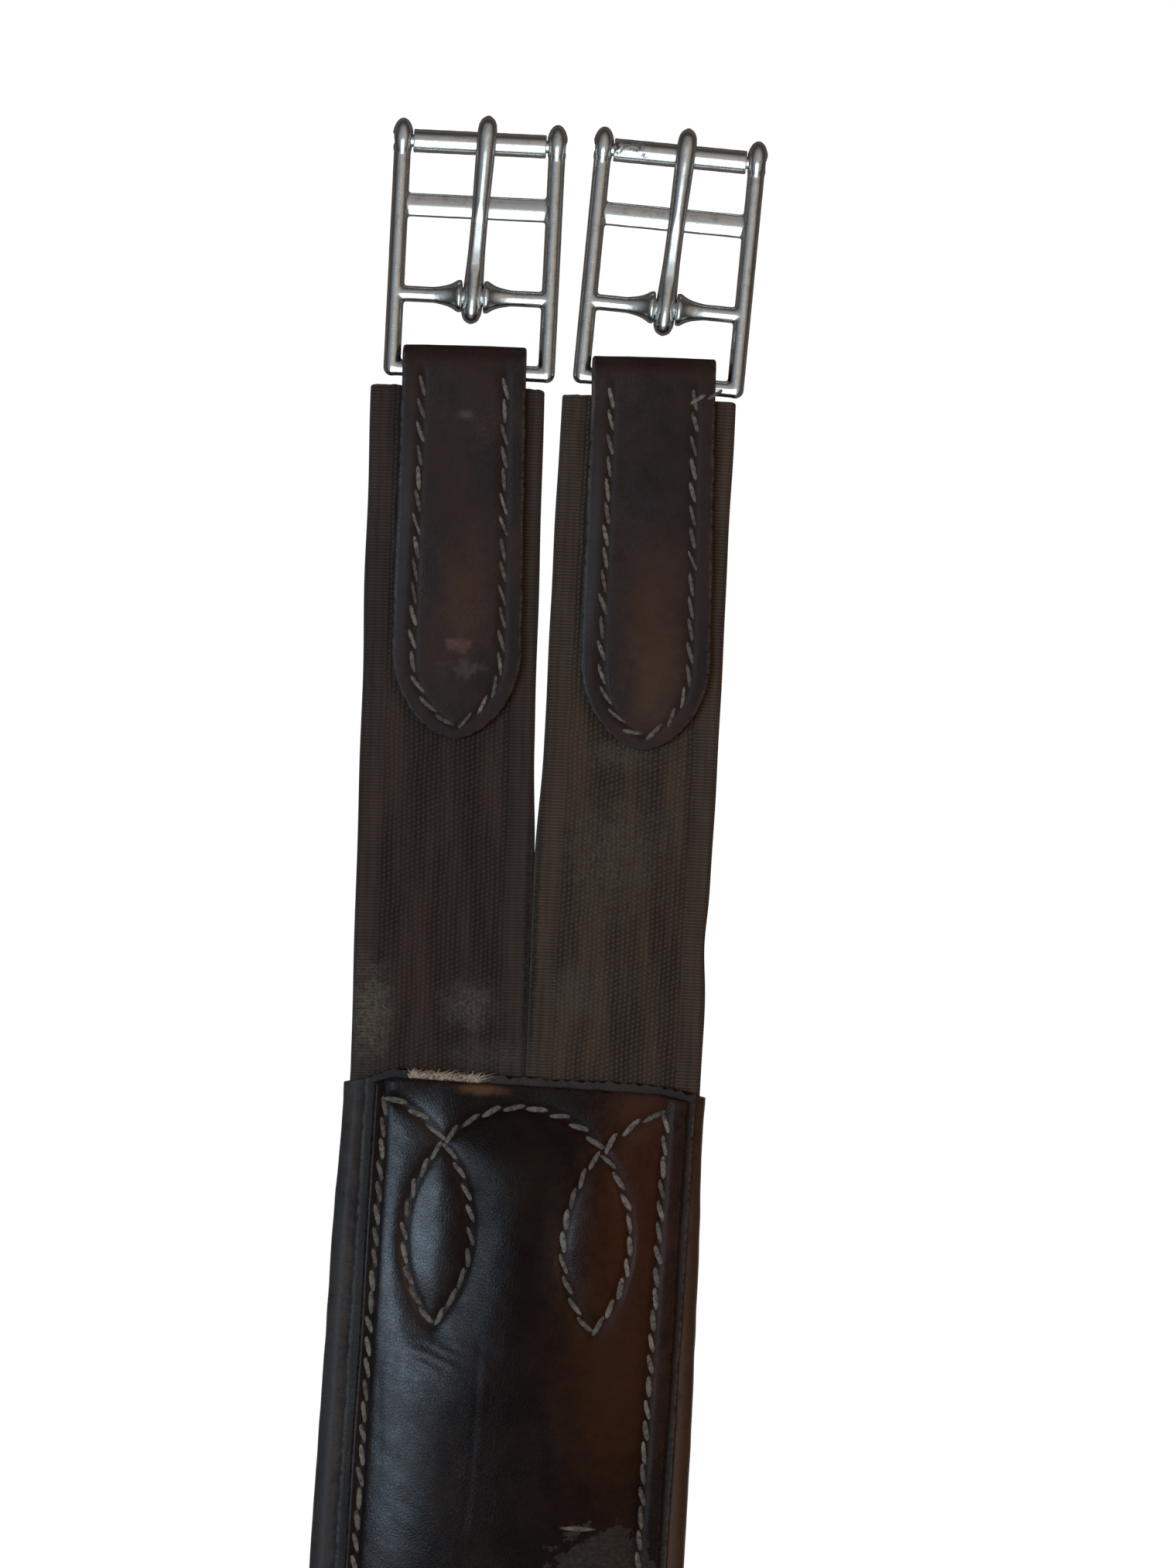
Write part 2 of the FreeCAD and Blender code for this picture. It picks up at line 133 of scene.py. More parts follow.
def tubeFaces(rows, columns):
    # quads between neighbouring closed rings, and a flat cap on the first and last ring
    start = np.arange(rows - 1)[:, None] * columns
    here = np.arange(columns)[None, :]
    after = (here + 1) % columns
    quads = np.stack([start + here, start + after, start + columns + after, start + columns + here], -1)
    caps = np.array([[0], [(rows - 1) * columns]]) + np.arange(columns)
    return quads.reshape(-1, 4), caps


def makeTubes(name, rings, **extras):
    # one capped tube, or a stack of alike tubes, from closed rings of points
    rings = rings.reshape(-1, *rings.shape[-3:])
    count, rows, columns = rings.shape[:3]
    quads, caps = tubeFaces(rows, columns)
    starts = np.arange(count)[:, None, None] * rows * columns
    return makePiece(name, rings.reshape(-1, 3), (quads + starts).reshape(-1, 4),
                     (caps + starts).reshape(-1, columns).tolist(), **extras)


def wholeTurn(count):
    # evenly spaced angles once round
    return np.linspace(0, 2 * np.pi, count + 1)[:-1]


def arcThrough(start, middle, end, step=0.4):
    # points along the circle through three points, a step apart
    a, b, c = [np.array(p, float) for p in (start, middle, end)]
    lines = np.array([b - a, c - a])
    centre = np.linalg.solve(lines, np.array([(b @ b - a @ a), (c @ c - a @ a)]) / 2)
    angles = np.unwrap([math.atan2(*(p - centre)[::-1]) for p in (a, b, c)])
    radius = np.linalg.norm(a - centre)
    count = max(3, int(radius * abs(angles[2] - angles[0]) / step))
    turn = np.linspace(angles[0], angles[2], count)
    return centre + radius * np.stack([np.cos(turn), np.sin(turn)], -1)


def strapPlace(name):
    # where a strap's pieces are: origins and their own X and Y directions, read from its joints
    pivot = np.array(joints[name + "_elastic_bend"]["pos_m"]) / mm
    along = np.array(joints[name + "_elastic_stretch"]["axis"])
    bar = np.array(joints[name + "_buckle_swing"]["pos_m"]) / mm
    barAxis = np.array(joints[name + "_buckle_swing"]["axis"])
    tab = np.array(mounts[name + "_billet"]["axis"])
    end = 1 if pivot[1] > 0 else -1
    across = np.array([along[1], -along[0], 0])
    tabAcross = np.array([tab[1], -tab[0], 0])
    chape = bar - tabAcross * straps[name]["buckleShift"]
    return {"end": end, "pivot": pivot, "root": np.array([pivot[0], end * mouth, 0.0]), "along": along,
            "across": across, "bar": bar, "barAxis": barAxis, "tab": tab, "tabAcross": tabAcross,
            "chape": chape}


straps = {
    "near_left": {"buckleShift": 0.9, "kink": 0.0, "seed": 11},
    "near_right": {"buckleShift": 0.9, "kink": 0.6, "seed": 12},
    "off_left": {"buckleShift": 0.6, "kink": 0.25, "seed": 13},
    "off_right": {"buckleShift": 0.6, "kink": 0.0, "seed": 14},
}
places = {name: strapPlace(name) for name in strapNames}


# seam lines, seen from the front

seams = {
    "insetLeft": 2.2, "insetRight": 4.3, "fromMouth": 4.8, "crossInset": 12.3, "crossDepth": 13.4,
    "archDepth": 5.6, "leafLength": 36.6, "leafHalfWidth": 6.7, "leafBelly": 17.6, "scallopBulge": 1.2,
}
leftSeam = panelLow[0] + seams["insetLeft"]
rightSeam = panelHigh[0] - seams["insetRight"]
seamEnd = mouth - seams["fromMouth"]


def bulged(start, end, bulge):
    run = np.subtract(end, start)
    return np.add(start, run / 2) + np.array([-run[1], run[0]]) / np.linalg.norm(run) * bulge


def scrollPaths(end):
    # two scallops, the arch between them and two leaves, as arcs, turned round for the off end
    left, right = sorted((end * leftSeam, end * rightSeam))
    crossings = [(left + seams["crossInset"], -seams["crossDepth"]),
                 (right - seams["crossInset"], -seams["crossDepth"])]
    corners = [(left, -seams["fromMouth"]), (right, -seams["fromMouth"])]
    archTop = ((crossings[0][0] + crossings[1][0]) / 2, -seams["archDepth"])
    runs = [arcThrough(corners[0], bulged(corners[0], crossings[0], seams["scallopBulge"]), crossings[0]),
            arcThrough(corners[1], bulged(corners[1], crossings[1], -seams["scallopBulge"]), crossings[1]),
            arcThrough(crossings[0], archTop, crossings[1])]
    for cross in crossings:
        tip = (cross[0], cross[1] - seams["leafLength"])
        for side in (-1, 1):
            belly = (cross[0] + side * seams["leafHalfWidth"], cross[1] - seams["leafBelly"])
            runs.append(arcThrough(cross, belly, tip))
    return [np.stack([run[:, 0] * end, end * (mouth + run[:, 1])], -1) for run in runs]


scrolls = {end: scrollPaths(end) for end in (1, -1)}


def seamDistance(x, y):
    # how far each point is from the nearest line of stitching
    nearest = np.minimum(np.abs(x - leftSeam), np.abs(x - rightSeam))
    for end, paths in scrolls.items():
        line = np.concatenate(paths)
        close = y * end > mouth - 75
        spots = np.stack([x[close], y[close]], -1)
        found = np.empty(len(spots))
        for start in range(0, len(spots), 3000):
            part = spots[start:start + 3000]
            gaps = ((part[:, None, :] - line[None, :, :]) ** 2).sum(-1)
            found[start:start + 3000] = np.sqrt(gaps.min(1))
        nearest[close] = np.minimum(nearest[close], found)
    return nearest


# front panel: a sheet held down by its seams and puffed up between them

panelShape = {
    "margin": 9.5, "valley": 0.5, "valleyWidth": 0.8, "puff": 1.65, "puffReach": 4.2, "crown": 2.3,
    "edgeRound": 0.85, "creaseDepth": 0.05, "pressure": 5.0, "clothShare": 0.5, "clothCap": 1.6,
    "clothSize": 0.01, "clothColumns": 38, "clothRows": 372, "clothFrames": 24,
}


def creaseLines(x, y):
    # long shallow folds pressed along the panel, as narrow valleys beside low ridges
    total = np.zeros_like(x)
    for x0, y0, x1, y1, depth in ((-5.3, -48, -6.4, -98, 1.0), (-25.4, -58, -23.9, -85, 0.8),
                                  (-5.9, -98, -4.0, -190, 0.7), (9.0, -150, 12.0, -260, 0.6)):
        for end in (1, -1):
            part = np.clip((y * end - mouth - y0) / (y1 - y0), 0, 1)
            away = x * end - (x0 + (x1 - x0) * part) - 0.25 * np.sin(y / 9.0)
            strength = smooth(0, 0.15, part) * smooth(0, 0.25, 1 - part) * depth
            total += strength * (np.exp(-(away / 0.5) ** 2) - 0.7 * np.exp(-((away - 1.1) / 0.9) ** 2))
    return total


def wrinkles(x, y):
    # short ripples across the left half, below the leaves
    local = y - mouth
    patch = np.exp(-((x + 15) / 6.5) ** 2 - ((local + 56.5) / 3.2) ** 2)
    low = np.exp(-((x + 18) / 5) ** 2 - ((local + 88) / 6) ** 2) * 0.12
    wave = np.sin((local + x * 0.35) * 2 * np.pi / 2.3 + wander(x, y, 5, 9))
    return (patch + low) * wave


def softPuff():
    # the puff's share at each place, 0 on a seam and nearly 1 far from one, blurred so that no ridge shows
    xs = np.arange(panelLow[0] - 1, panelHigh[0] + 1.01, 0.7)
    ys = np.arange(panelLow[1] - 1, panelHigh[1] + 1.01, 0.7)
    gridX, gridY = np.meshgrid(xs, ys)
    share = 1 - np.exp(-seamDistance(gridX, gridY) / panelShape["puffReach"])
    weights = np.exp(-(np.arange(-6, 7) / 1.6) ** 2 / 2)
    weights /= weights.sum()
    for axis in (0, 1):
        padded = np.pad(share, [(6, 6) if axis == side else (0, 0) for side in (0, 1)], mode="edge")
        spots = np.arange(share.shape[axis])
        share = sum(weight * np.take(padded, spots + step, axis) for step, weight in enumerate(weights))
    return xs, ys, share


def panelHeight(x, y, cloth=None):
    # margin height, less a groove at each seam, plus a puff that grows away from the seams
    distance = seamDistance(x, y)
    middle = (leftSeam + rightSeam) / 2
    inside = smooth(-0.2, 0.2, x - leftSeam) * smooth(-0.2, 0.2, rightSeam - x)
    part = np.clip((x - middle) / ((rightSeam - leftSeam) / 2), -1, 1)
    toMouth = mouth - np.abs(y)
    shape = panelShape
    puff = shape["puff"] * readGrid(puffGrid, x, y) * (1 - 0.5 * np.exp(-distance / 1.5))
    if cloth is not None:
        puff = puff * (1 - shape["clothShare"]) + cloth * shape["clothShare"] * 1.6
    crown = shape["crown"] * (1 - part ** 2) * smooth(0, 22, toMouth)
    puff = puff * (0.45 + 0.55 * smooth(2, 26, toMouth)) + crown
    valley = shape["valley"] * np.exp(-(distance / shape["valleyWidth"]) ** 2)
    height = shape["margin"] + inside * puff - valley
    height += 0.10 * wander(x, y, 1, 34) * inside + 0.03 * wander(x, y, 2, 7)
    height -= shape["creaseDepth"] * creaseLines(x, y) * inside
    return height + 0.07 * wrinkles(x, y)


def clothPuff():
    # the panel as pinned cloth under pressure, ten times life size, read back as a grid of heights
    shape = panelShape
    xs = np.linspace(panelLow[0], panelHigh[0], shape["clothColumns"])
    ys = np.linspace(panelLow[1], panelHigh[1], shape["clothRows"])
    gridX, gridY = np.meshgrid(xs, ys)
    flat = np.stack([gridX.ravel(), gridY.ravel(), np.zeros(gridX.size)], -1) * shape["clothSize"]
    rows, columns = gridX.shape
    start = np.arange(rows - 1)[:, None] * columns + np.arange(columns - 1)[None, :]
    quads = np.stack([start, start + 1, start + columns + 1, start + columns], -1).reshape(-1, 4)
    mesh = bpy.data.meshes.new("clothTrial")
    mesh.from_pydata(flat.tolist(), [], quads.tolist())
    trial = addObject("clothTrial", mesh)
    outside = (gridX < leftSeam + 0.4) | (gridX > rightSeam - 0.4) | (np.abs(gridY) > mouth - 2.5)
    held = np.nonzero(((seamDistance(gridX, gridY) < 0.95) | outside).ravel())[0]
    group = trial.vertex_groups.new(name="sewn")
    group.add(held.tolist(), 1.0, "REPLACE")
    cloth = trial.modifiers.new("leather", "CLOTH")
    for key, value in {"quality": 6, "mass": 0.6, "vertex_group_mass": "sewn", "tension_stiffness": 25,
                       "compression_stiffness": 25, "shear_stiffness": 12, "bending_stiffness": 3.0,
                       "air_damping": 3, "use_pressure": True,
                       "uniform_pressure_force": shape["pressure"]}.items():
        setattr(cloth.settings, key, value)
    cloth.settings.effector_weights.gravity = 0
    cloth.collision_settings.use_collision = False
    scene.frame_start, scene.frame_end = 1, shape["clothFrames"]
    for number in range(1, shape["clothFrames"] + 1):
        scene.frame_set(number)
    shaped = trial.evaluated_get(bpy.context.evaluated_depsgraph_get())
    spots = readOut(shaped.data.vertices, "co")
    scene.frame_set(1)
    lift = np.abs(spots.reshape(-1, 3)[:, 2]) / shape["clothSize"]
    bpy.data.objects.remove(trial)
    print("cloth lift, mean and most:", round(float(lift.mean()), 3), round(float(lift.max()), 3))
    return xs, ys, np.minimum(lift, shape["clothCap"]).reshape(rows, columns)


def readGrid(grid, x, y):
    # a value between four grid corners, weighted by nearness
    xs, ys, values = grid
    column = np.clip((x - xs[0]) / (xs[1] - xs[0]), 0, len(xs) - 1.001)
    row = np.clip((y - ys[0]) / (ys[1] - ys[0]), 0, len(ys) - 1.001)
    i, j = row.astype(int), column.astype(int)
    u, v = row - i, column - j
    return ((1 - u) * (1 - v) * values[i, j] + (1 - u) * v * values[i, j + 1]
            + u * (1 - v) * values[i + 1, j] + u * v * values[i + 1, j + 1])


puffGrid = softPuff()
clothGrid = clothPuff()


def panelTop(x, y):
    cloth = None if clothGrid is None else readGrid(clothGrid, x, y)
    return panelHeight(x, y, cloth)


def sweptRows(reach, fine, coarse, zone):
    # places along the girth, close together near both mouths
    near = np.arange(reach - zone, reach, fine)
    middle = np.linspace(-reach + zone, reach - zone, int(2 * (reach - zone) / coarse))
    return np.unique(np.concatenate([-near, middle, near, [reach, -reach]]).round(4))


def makeFrontPanel():
    ease = panelShape["edgeRound"]
    reach = panelHigh[1]
    rows = sweptRows(reach - ease, 0.6, 2.2, 104)
    tips = reach - ease * (1 - np.sin(np.linspace(0.2, 1, 5) * np.pi / 2))
    rows = np.concatenate([-tips[::-1], rows, tips])
    inset = ease * (1 - np.cos(np.linspace(0, 1, 6) * np.pi / 2))
    across = np.concatenate([panelLow[0] + inset, np.arange(panelLow[0] + 1.3, panelHigh[0] - 1, 0.6),
                             (panelHigh[0] - inset)[::-1]])
    gridX, gridY = np.meshgrid(across, rows)
    gridX = gridX + 0.12 * wander(gridX * 0, gridY, 3, 25)
    height = panelTop(gridX, gridY)
    fromSide = np.minimum(gridX - gridX[:, :1], gridX[:, -1:] - gridX)
    fromEnd = reach - np.abs(gridY)
    for gap in (fromSide, fromEnd):
        short = np.clip(1 - gap / ease, 0, 1)
        height -= ease * (1 - np.sqrt(np.clip(1 - short ** 2, 0, 1))) * 0.95
    settled = 0.18 * wander(gridX, gridY, 4, 8) - np.sign(gridY) * cornerSetBack(gridX)
    top = np.stack([gridX, gridY + settled * smooth(7, 0, fromEnd), height], -1)
    bottom = top[:, -1:] + (top[:, :1] - top[:, -1:]) * np.linspace(0, 1, 8)[:, None]
    bottom[:, :, 2] = panelLow[2]
    rings = np.concatenate([top, bottom], 1)
    under = np.ones(bottom.shape[:2])
    rim = np.concatenate([smooth(1.0, 0.3, np.minimum(fromSide, fromEnd)), under], 1)
    groove = np.concatenate([np.exp(-(seamDistance(gridX, gridY) / 0.9) ** 2), under * 0], 1)
    return makeTubes("front_panel_leather", rings, place=rings[..., :2], marks={"rim": rim, "groove": groove})


# the layer under the panel: thinner, with a ragged mouth

def makeBacking():
    rows = sweptRows(mouth - 1, 1.5, 5, 40)
    rows = np.concatenate([[-mouth - 0.3], rows, [mouth + 0.3]])
    across = np.concatenate([backingLow[0] + np.array([0, 0.08, 0.25, 0.5]),
                             np.arange(backingLow[0] + 0.9, backingHigh[0] - 0.6, 0.35),
                             backingHigh[0] - np.array([0.5, 0.25, 0.08, 0])])
    gridX, gridY = np.meshgrid(across, rows)
    side = np.minimum(gridX - backingLow[0], backingHigh[0] - gridX)
    gridX = gridX + 0.12 * wander(gridY, gridX * 0, 21, 18) * smooth(3, 0, side)
    ragged = 0.35 * wander(gridX, gridY * 0, 22, 2.2) + 0.3 * wander(gridX, gridY * 0, 23, 9)
    toMouth = mouth - np.abs(gridY)
    ragged = ragged * smooth(4, 0, toMouth) - cornerSetBack(gridX) * smooth(9, 0, toMouth)
    gridY = gridY + np.sign(gridY) * ragged
    ease = 0.35 * np.clip(1 - side / 0.5, 0, 1) ** 2
    toEnd = smooth(2.5, 0, mouth + 0.3 - np.abs(gridY))
    topZ = backingHigh[2] - 0.02 - ease - 0.25 * toEnd + 0.05 * wander(gridX, gridY, 24,
                                                                       4) * smooth(3, 1, side)
    top = np.stack([gridX, gridY, topZ], -1)
    low = top[:, ::-1].copy()
    low[:, :, 2] = backingLow[2] + 0.02 + ease[:, ::-1]
    rings = np.concatenate([top, low], 1)
    rim = smooth(0.7, 0.1, side)
    return makeTubes("backing_edge_leather", rings, place=rings[..., :2],
                     marks={"rim": np.concatenate([rim, rim[:, ::-1]], 1)})


# lining: the back leather, rolled round both long edges and turned over the front

liningShape = {"round": 3.15, "flange": 11.0, "leather": 1.2, "lip": 0.45, "backDent": 0.42, "quilt": 0.16,
               "cornerLeft": 3.0, "cornerRight": 1.6, "spreadLeft": 0.6, "spreadRight": 1.5}


def cornerSetBack(x):
    # the mouth's corners stand back a little, more at the left
    depth = np.where(x < 0, liningShape["cornerLeft"], liningShape["cornerRight"])
    return depth * smooth(halfBody - 11.5, halfBody + 1, np.abs(x))


def rolledProfile(half, low, high, radius, flange, bottomStep):
    # from the flange's free edge round the side, along the back and up the other side
    turn = np.linspace(0, np.pi, 25)
    squash = (high - low) / 2 / radius
    sideX = half - radius + radius * np.sin(turn) ** 0.9
    sideZ = (high + low) / 2 + radius * np.cos(turn) * squash
    flat = np.linspace(half - flange, half - radius, 9)[:-1]
    rightTop = np.stack([flat, np.full(8, high)], -1)
    rightSide = np.stack([sideX, sideZ], -1)
    count = int(2 * (half - radius) / bottomStep)
    back = np.linspace(half - radius, -half + radius, count)[1:-1]
    bottom = np.stack([back, np.full(len(back), low)], -1)
    right = np.concatenate([rightTop, rightSide])
    left = right[::-1] * np.array([-1, 1])
    return np.concatenate([right, bottom, left])


def makeLining():
    shape = liningShape
    low, high = 0.0, backingLow[2]
    outer = rolledProfile(halfBody, low, high, shape["round"], shape["flange"], 0.62)
    inner = rolledProfile(halfBody - shape["leather"], low + shape["leather"], high - shape["leather"],
                          shape["round"] - shape["leather"], shape["flange"] - shape["leather"], 4.0)[::-1]
    rows = sweptRows(mouth, 0.9, 3.2, 62)
    ring = np.concatenate([outer, inner])
    rings = np.empty((len(rows), len(ring), 3))
    rings[:, :, 0] = ring[:, 0]
    rings[:, :, 2] = ring[:, 1]
    rings[:, :, 1] = rows[:, None]
    skin = np.arange(len(ring)) < len(outer)
    x, y, z = rings[:, :, 0], rings[:, :, 1], rings[:, :, 2]
    edge = smooth(halfBody - 6, halfBody - 2, np.abs(x)) * skin
    onTop = skin & (z > high - 0.8)
    lip = shape["lip"] * np.exp(-((np.abs(x) - halfBody + 2.6) / 1.3) ** 2) * onTop
    rings[:, :, 2] += lip * smooth(0, 5, mouth - np.abs(y)) + 0.07 * wander(x, y, 31, 16) * onTop
    spread = np.where(x > 0, shape["spreadRight"], shape["spreadLeft"]) * smooth(8, 80, mouth - np.abs(y))
    rings[:, :, 0] += np.sign(x) * edge * (spread + 0.16 * wander(y, x * 0, 32, 46)
                                           + 0.07 * wander(y, z, 33, 9))
    under = skin & (z < low + 0.3)
    distance = seamDistance(x, y)
    dent = np.exp(-(distance / 0.95) ** 2)
    quilt = shape["quilt"] * np.exp(-(distance / 3.5) ** 2)
    rings[:, :, 2] += under * (shape["backDent"] * dent + quilt)
    rings[:, :, 1] -= np.sign(y) * cornerSetBack(x) * smooth(9, 0, mouth - np.abs(y))
    rings[:, :, 1] += np.sign(y) * 0.15 * wander(x, z, 34, 7) * smooth(4, 0, mouth - np.abs(y))
    return makeTubes("lining_rolled_leather", rings, place=rings[..., :2],
                     marks={"groove": under * dent, "rim": smooth(1.4, 0.2, mouth - np.abs(y))})


# foam core: thin under the elastics, thick between them

def makeFoam():
    low, high = boxOf("foam_pad")
    half = high[0] - 0.25
    rows = sweptRows(high[1], 1.5, 12, 66)
    turn = wholeTurn(60)
    power = 0.32
    across = np.sign(np.cos(turn)) * np.abs(np.cos(turn)) ** power
    up = np.sign(np.sin(turn)) * np.abs(np.sin(turn)) ** power
    thin = low[2] + 0.8
    thick = smooth(high[1] - 43.5, high[1] - 49, np.abs(rows))
    top = thin + (high[2] - thin) * thick - 0.05
    narrow = 1 - 0.02 * smooth(6, 0, high[1] - np.abs(rows)) + 0.004 * wander(rows, rows * 0, 41, 60)
    middle = (top + low[2] + 0.05) / 2
    tall = (top - low[2] - 0.05) / 2
    rings = np.empty((len(rows), len(turn), 3))
    rings[:, :, 0] = half * narrow[:, None] * across
    rings[:, :, 1] = rows[:, None]
    rings[:, :, 2] = middle[:, None] + tall[:, None] * up * (1 - 0.12 * np.abs(across) ** 3)
    return makeTubes("foam_core", rings, place=rings[..., :2])


# stitches: flattened threads whose ends dive into the leather

threadLook = {"pitch": 4.4, "length": 5.1, "width": 1.12, "thickness": 0.56, "lift": 0.24, "dive": 0.2,
              "slant": 0.25, "rings": 7, "sides": 6, "ahead": 0.7}


def stitchRun(path, up, look, seed):
    # each stitch is a row of small rings along the seam, bowed up in the middle and turned a little
    steps = np.linalg.norm(np.diff(path, axis=0), axis=1)
    length = np.concatenate([[0], np.cumsum(steps)])
    count = max(1, round(length[-1] / look["pitch"]))
    pitch = length[-1] / count
    draw = np.random.default_rng(seed)
    centres = (np.arange(count) + 0.5) * pitch + draw.uniform(-0.12, 0.12, count)
    part = np.linspace(-1, 1, look["rings"])
    reach = look["length"] / 2 * pitch / look["pitch"] * draw.uniform(0.9, 1.04, count)
    along = np.clip(centres[:, None] + part * reach[:, None], 0, length[-1])

    def spotAt(reached):
        reached = np.clip(reached, 0, length[-1])
        return np.stack([np.interp(reached, length, path[:, axis]) for axis in range(3)], -1)

    spots = spotAt(along)
    ahead = spotAt(centres + look["ahead"]) - spotAt(centres - look["ahead"])
    ahead /= np.linalg.norm(ahead, axis=1)[:, None]
    side = np.cross(up, ahead)
    side /= np.linalg.norm(side, axis=1)[:, None]
    up = np.broadcast_to(up, side.shape)
    slant = look["slant"] + draw.normal(0, 0.09, count)
    swing = slant[:, None] * part * reach[:, None] + draw.normal(0, 0.06, count)[:, None]
    lift = look["lift"] * (1 - part ** 2) * 1.5 - look["dive"] * np.abs(part) ** 5
    wide = look["width"] / 2 * (1 - 0.3 * part ** 2
                                - 0.25 * part ** 4) * draw.uniform(0.85, 1.1, count)[:, None]
    tall = look["thickness"] / 2 * (1 - 0.3 * part ** 4) * draw.uniform(0.85, 1.1, count)[:, None]
    turn = np.arange(look["sides"]) * 2 * np.pi / look["sides"]
    centre = spots + side[:, None] * swing[..., None] + up[:, None] * lift[None, :, None]
    rings = (centre[:, :, None] + side[:, None, None] * (wide[:, :, None] * np.cos(turn))[..., None]
             + up[:, None, None] * (tall[:, :, None] * np.sin(turn))[..., None])
    shape = rings.shape[:3]
    place = np.stack([np.broadcast_to(turn * 0.3, shape), np.broadcast_to(along[:, :, None], shape)], -1)
    mark = np.broadcast_to(np.abs(part)[None, :, None], shape)
    tone = np.broadcast_to(draw.uniform(0, 1, count)[:, None, None], shape)
    return rings, place, mark, tone


def makeStitching(name, runs, look, seed):
    # many runs joined into one piece, every stitch with the same few faces
    made = [stitchRun(path, np.array(up, float), look, seed + number) for number,
            (path, up) in enumerate(runs)]
    rings, place, mark, tone = [np.concatenate([part[number] for part in made]) for number in range(4)]
    return makeTubes(name, rings, place=place, marks={"ends": mark, "tone": tone}, sharp=70)


def onPanel(path):
    return np.column_stack([path, panelTop(path[:, 0], path[:, 1])])


def onBack(path):
    return np.column_stack([path, np.full(len(path), 0.42)])


sideLines = []
for seamX in (leftSeam, rightSeam):
    alongY = np.arange(-seamEnd, seamEnd + 0.1, 0.5)
    sideLines.append(np.column_stack([seamX + 0.15 * wander(alongY, alongY * 0, 51 + int(seamX > 0), 40),
                                      alongY]))
backLook = {**threadLook, "lift": 0.05, "thickness": 0.5, "dive": 0.3}


def bothFaces(paths):
    return [(onPanel(path), (0, 0, 1)) for path in paths], [(onBack(path), (0, 0, -1)) for path in paths]


# elastics: woven strips, each made in two lengths

elasticShape = {"split": 26.0, "inside": 45.0, "reach": 138.0, "half": 17.5, "round": 1.15,
                "bendReach": 24.0, "stretchFrom": 28.0, "stretchTo": 65.0}


def pairGap(end, s):
    # the gap between an end's two elastics, this far from the mouth
    pair = [places[name] for name in strapNames if places[name]["end"] == end]
    left, right = sorted(pair, key=lambda place: place["root"][0])
    return (right["root"][0] - left["root"][0] - 2 * elasticShape["half"]
            + s * (right["along"][0] - left["along"][0]))


def elasticRings(name, rows):
    # a flat rounded strip: straight inside the body, then along the strap's own direction
    place, look = places[name], straps[name]
    half, ease = elasticShape["half"], elasticShape["round"]
    inset = ease * (1 - np.cos(np.linspace(0, 1, 5) * np.pi / 2))
    drop = ease * (1 - np.sin(np.linspace(0, 1, 5) * np.pi / 2))
    inner = np.arange(-half + 1.8, half - 1.2, 0.9)
    across = np.concatenate([-half + inset, inner, (half - inset)[::-1]])
    lower = np.concatenate([drop, np.zeros(len(inner)), drop[::-1]])
    top, bottom = elasticHigh[2] - 0.02, elasticLow[2] + 0.02
    ringX = np.concatenate([across, across[::-1]])
    ringZ = np.concatenate([top - lower, (bottom + lower)[::-1]])
    s = rows[:, None]
    x = np.broadcast_to(ringX, (len(rows), len(ringX))).copy()
    edge = smooth(half - 5, half, np.abs(x))
    side = np.sign(x)
    wave = 0.13 * wander(s + side * 50, s * 0, look["seed"], 24) * smooth(0, 20, s)
    kink = look["kink"] * np.exp(-((s - 29) / 7.0) ** 2) * (x > 0)
    innerSide = -np.sign(place["root"][0] * place["end"])
    close = (pairGap(place["end"], s) / 2 + 0.03) * smooth(66, 42, s) * (side == innerSide)
    x += side * edge * (np.where(side == innerSide, wave * smooth(50, 70, s), wave) - kink
                        + close * smooth(-12, -6, s))
    z = ringZ + 0.10 * wander(x, s + 0 * x, look["seed"] + 5, 26) * smooth(4, 30, s) * smooth(70, 55, s)
    bend = smooth(-4, 4, s)
    ahead = np.array([0.0, place["end"], 0])
    spine = np.where(s > 0, s * place["along"][None], s * ahead[None]) + place["root"]
    acrossDirection = place["across"] * bend + np.array([place["end"], 0.0, 0]) * (1 - bend)
    points = spine[:, None] + acrossDirection[:, None] * x[..., None]
    points[:, :, 2] = z
    fray = 0.25 * wander(ringX, ringX * 0, look["seed"] + 9, 2.5) * smooth(2, 0, rows[-1] - s)
    points += place["along"] * (fray * (rows[-1] > 100))[..., None]
    uv = np.stack([x + side * (top - z) * (np.abs(x) > half - 1.5), np.broadcast_to(s, x.shape)], -1)
    return points, uv


def makeElastic(name):
    place, shape = places[name], elasticShape
    spans = {"_elastic_root": np.concatenate([np.arange(-shape["inside"], 0, 3),
                                              np.arange(0, shape["split"] + 0.1, 1)]),
             "_elastic_strap": np.concatenate([np.arange(shape["split"], shape["reach"] - 0.9, 1),
                                               shape["reach"] - np.array([0.6, 0.25, 0.05])])}
    made = []
    for suffix, rows in spans.items():
        points, uv = elasticRings(name, rows)
        if rows[-1] > 100:
            blunt = (shape["half"] - np.array([0, 0.12, 0.45])) / shape["half"]
            middle = points[-3:].mean(1, keepdims=True)
            points[-3:, :, :2] = middle[:, :, :2] + (points[-3:, :, :2]
                                                     - middle[:, :, :2]) * blunt[:, None, None]
        made.append(makeTubes(name + suffix, points, place=uv))
    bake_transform(made[0])
    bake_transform(made[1])
    for piece in made:
        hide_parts(name + "_elastic")
    return made


# chapes: one strap of leather folded round the buckle's bottom bar, both ends cut to a pointed arch

chapeShape = {"leather": 2.0, "outer": 3.7, "inner": 1.7, "slack": 1.3, "foldHalf": 12.45, "tabHalf": 13.0,
              "length": 74.0, "arch": 18.0, "archPower": 0.57, "seamInset": 4.1, "seamArch": 14.0,
              "seamTip": 2.4,
              "dent": 0.34, "pillow": 0.12, "bevel": 0.55}


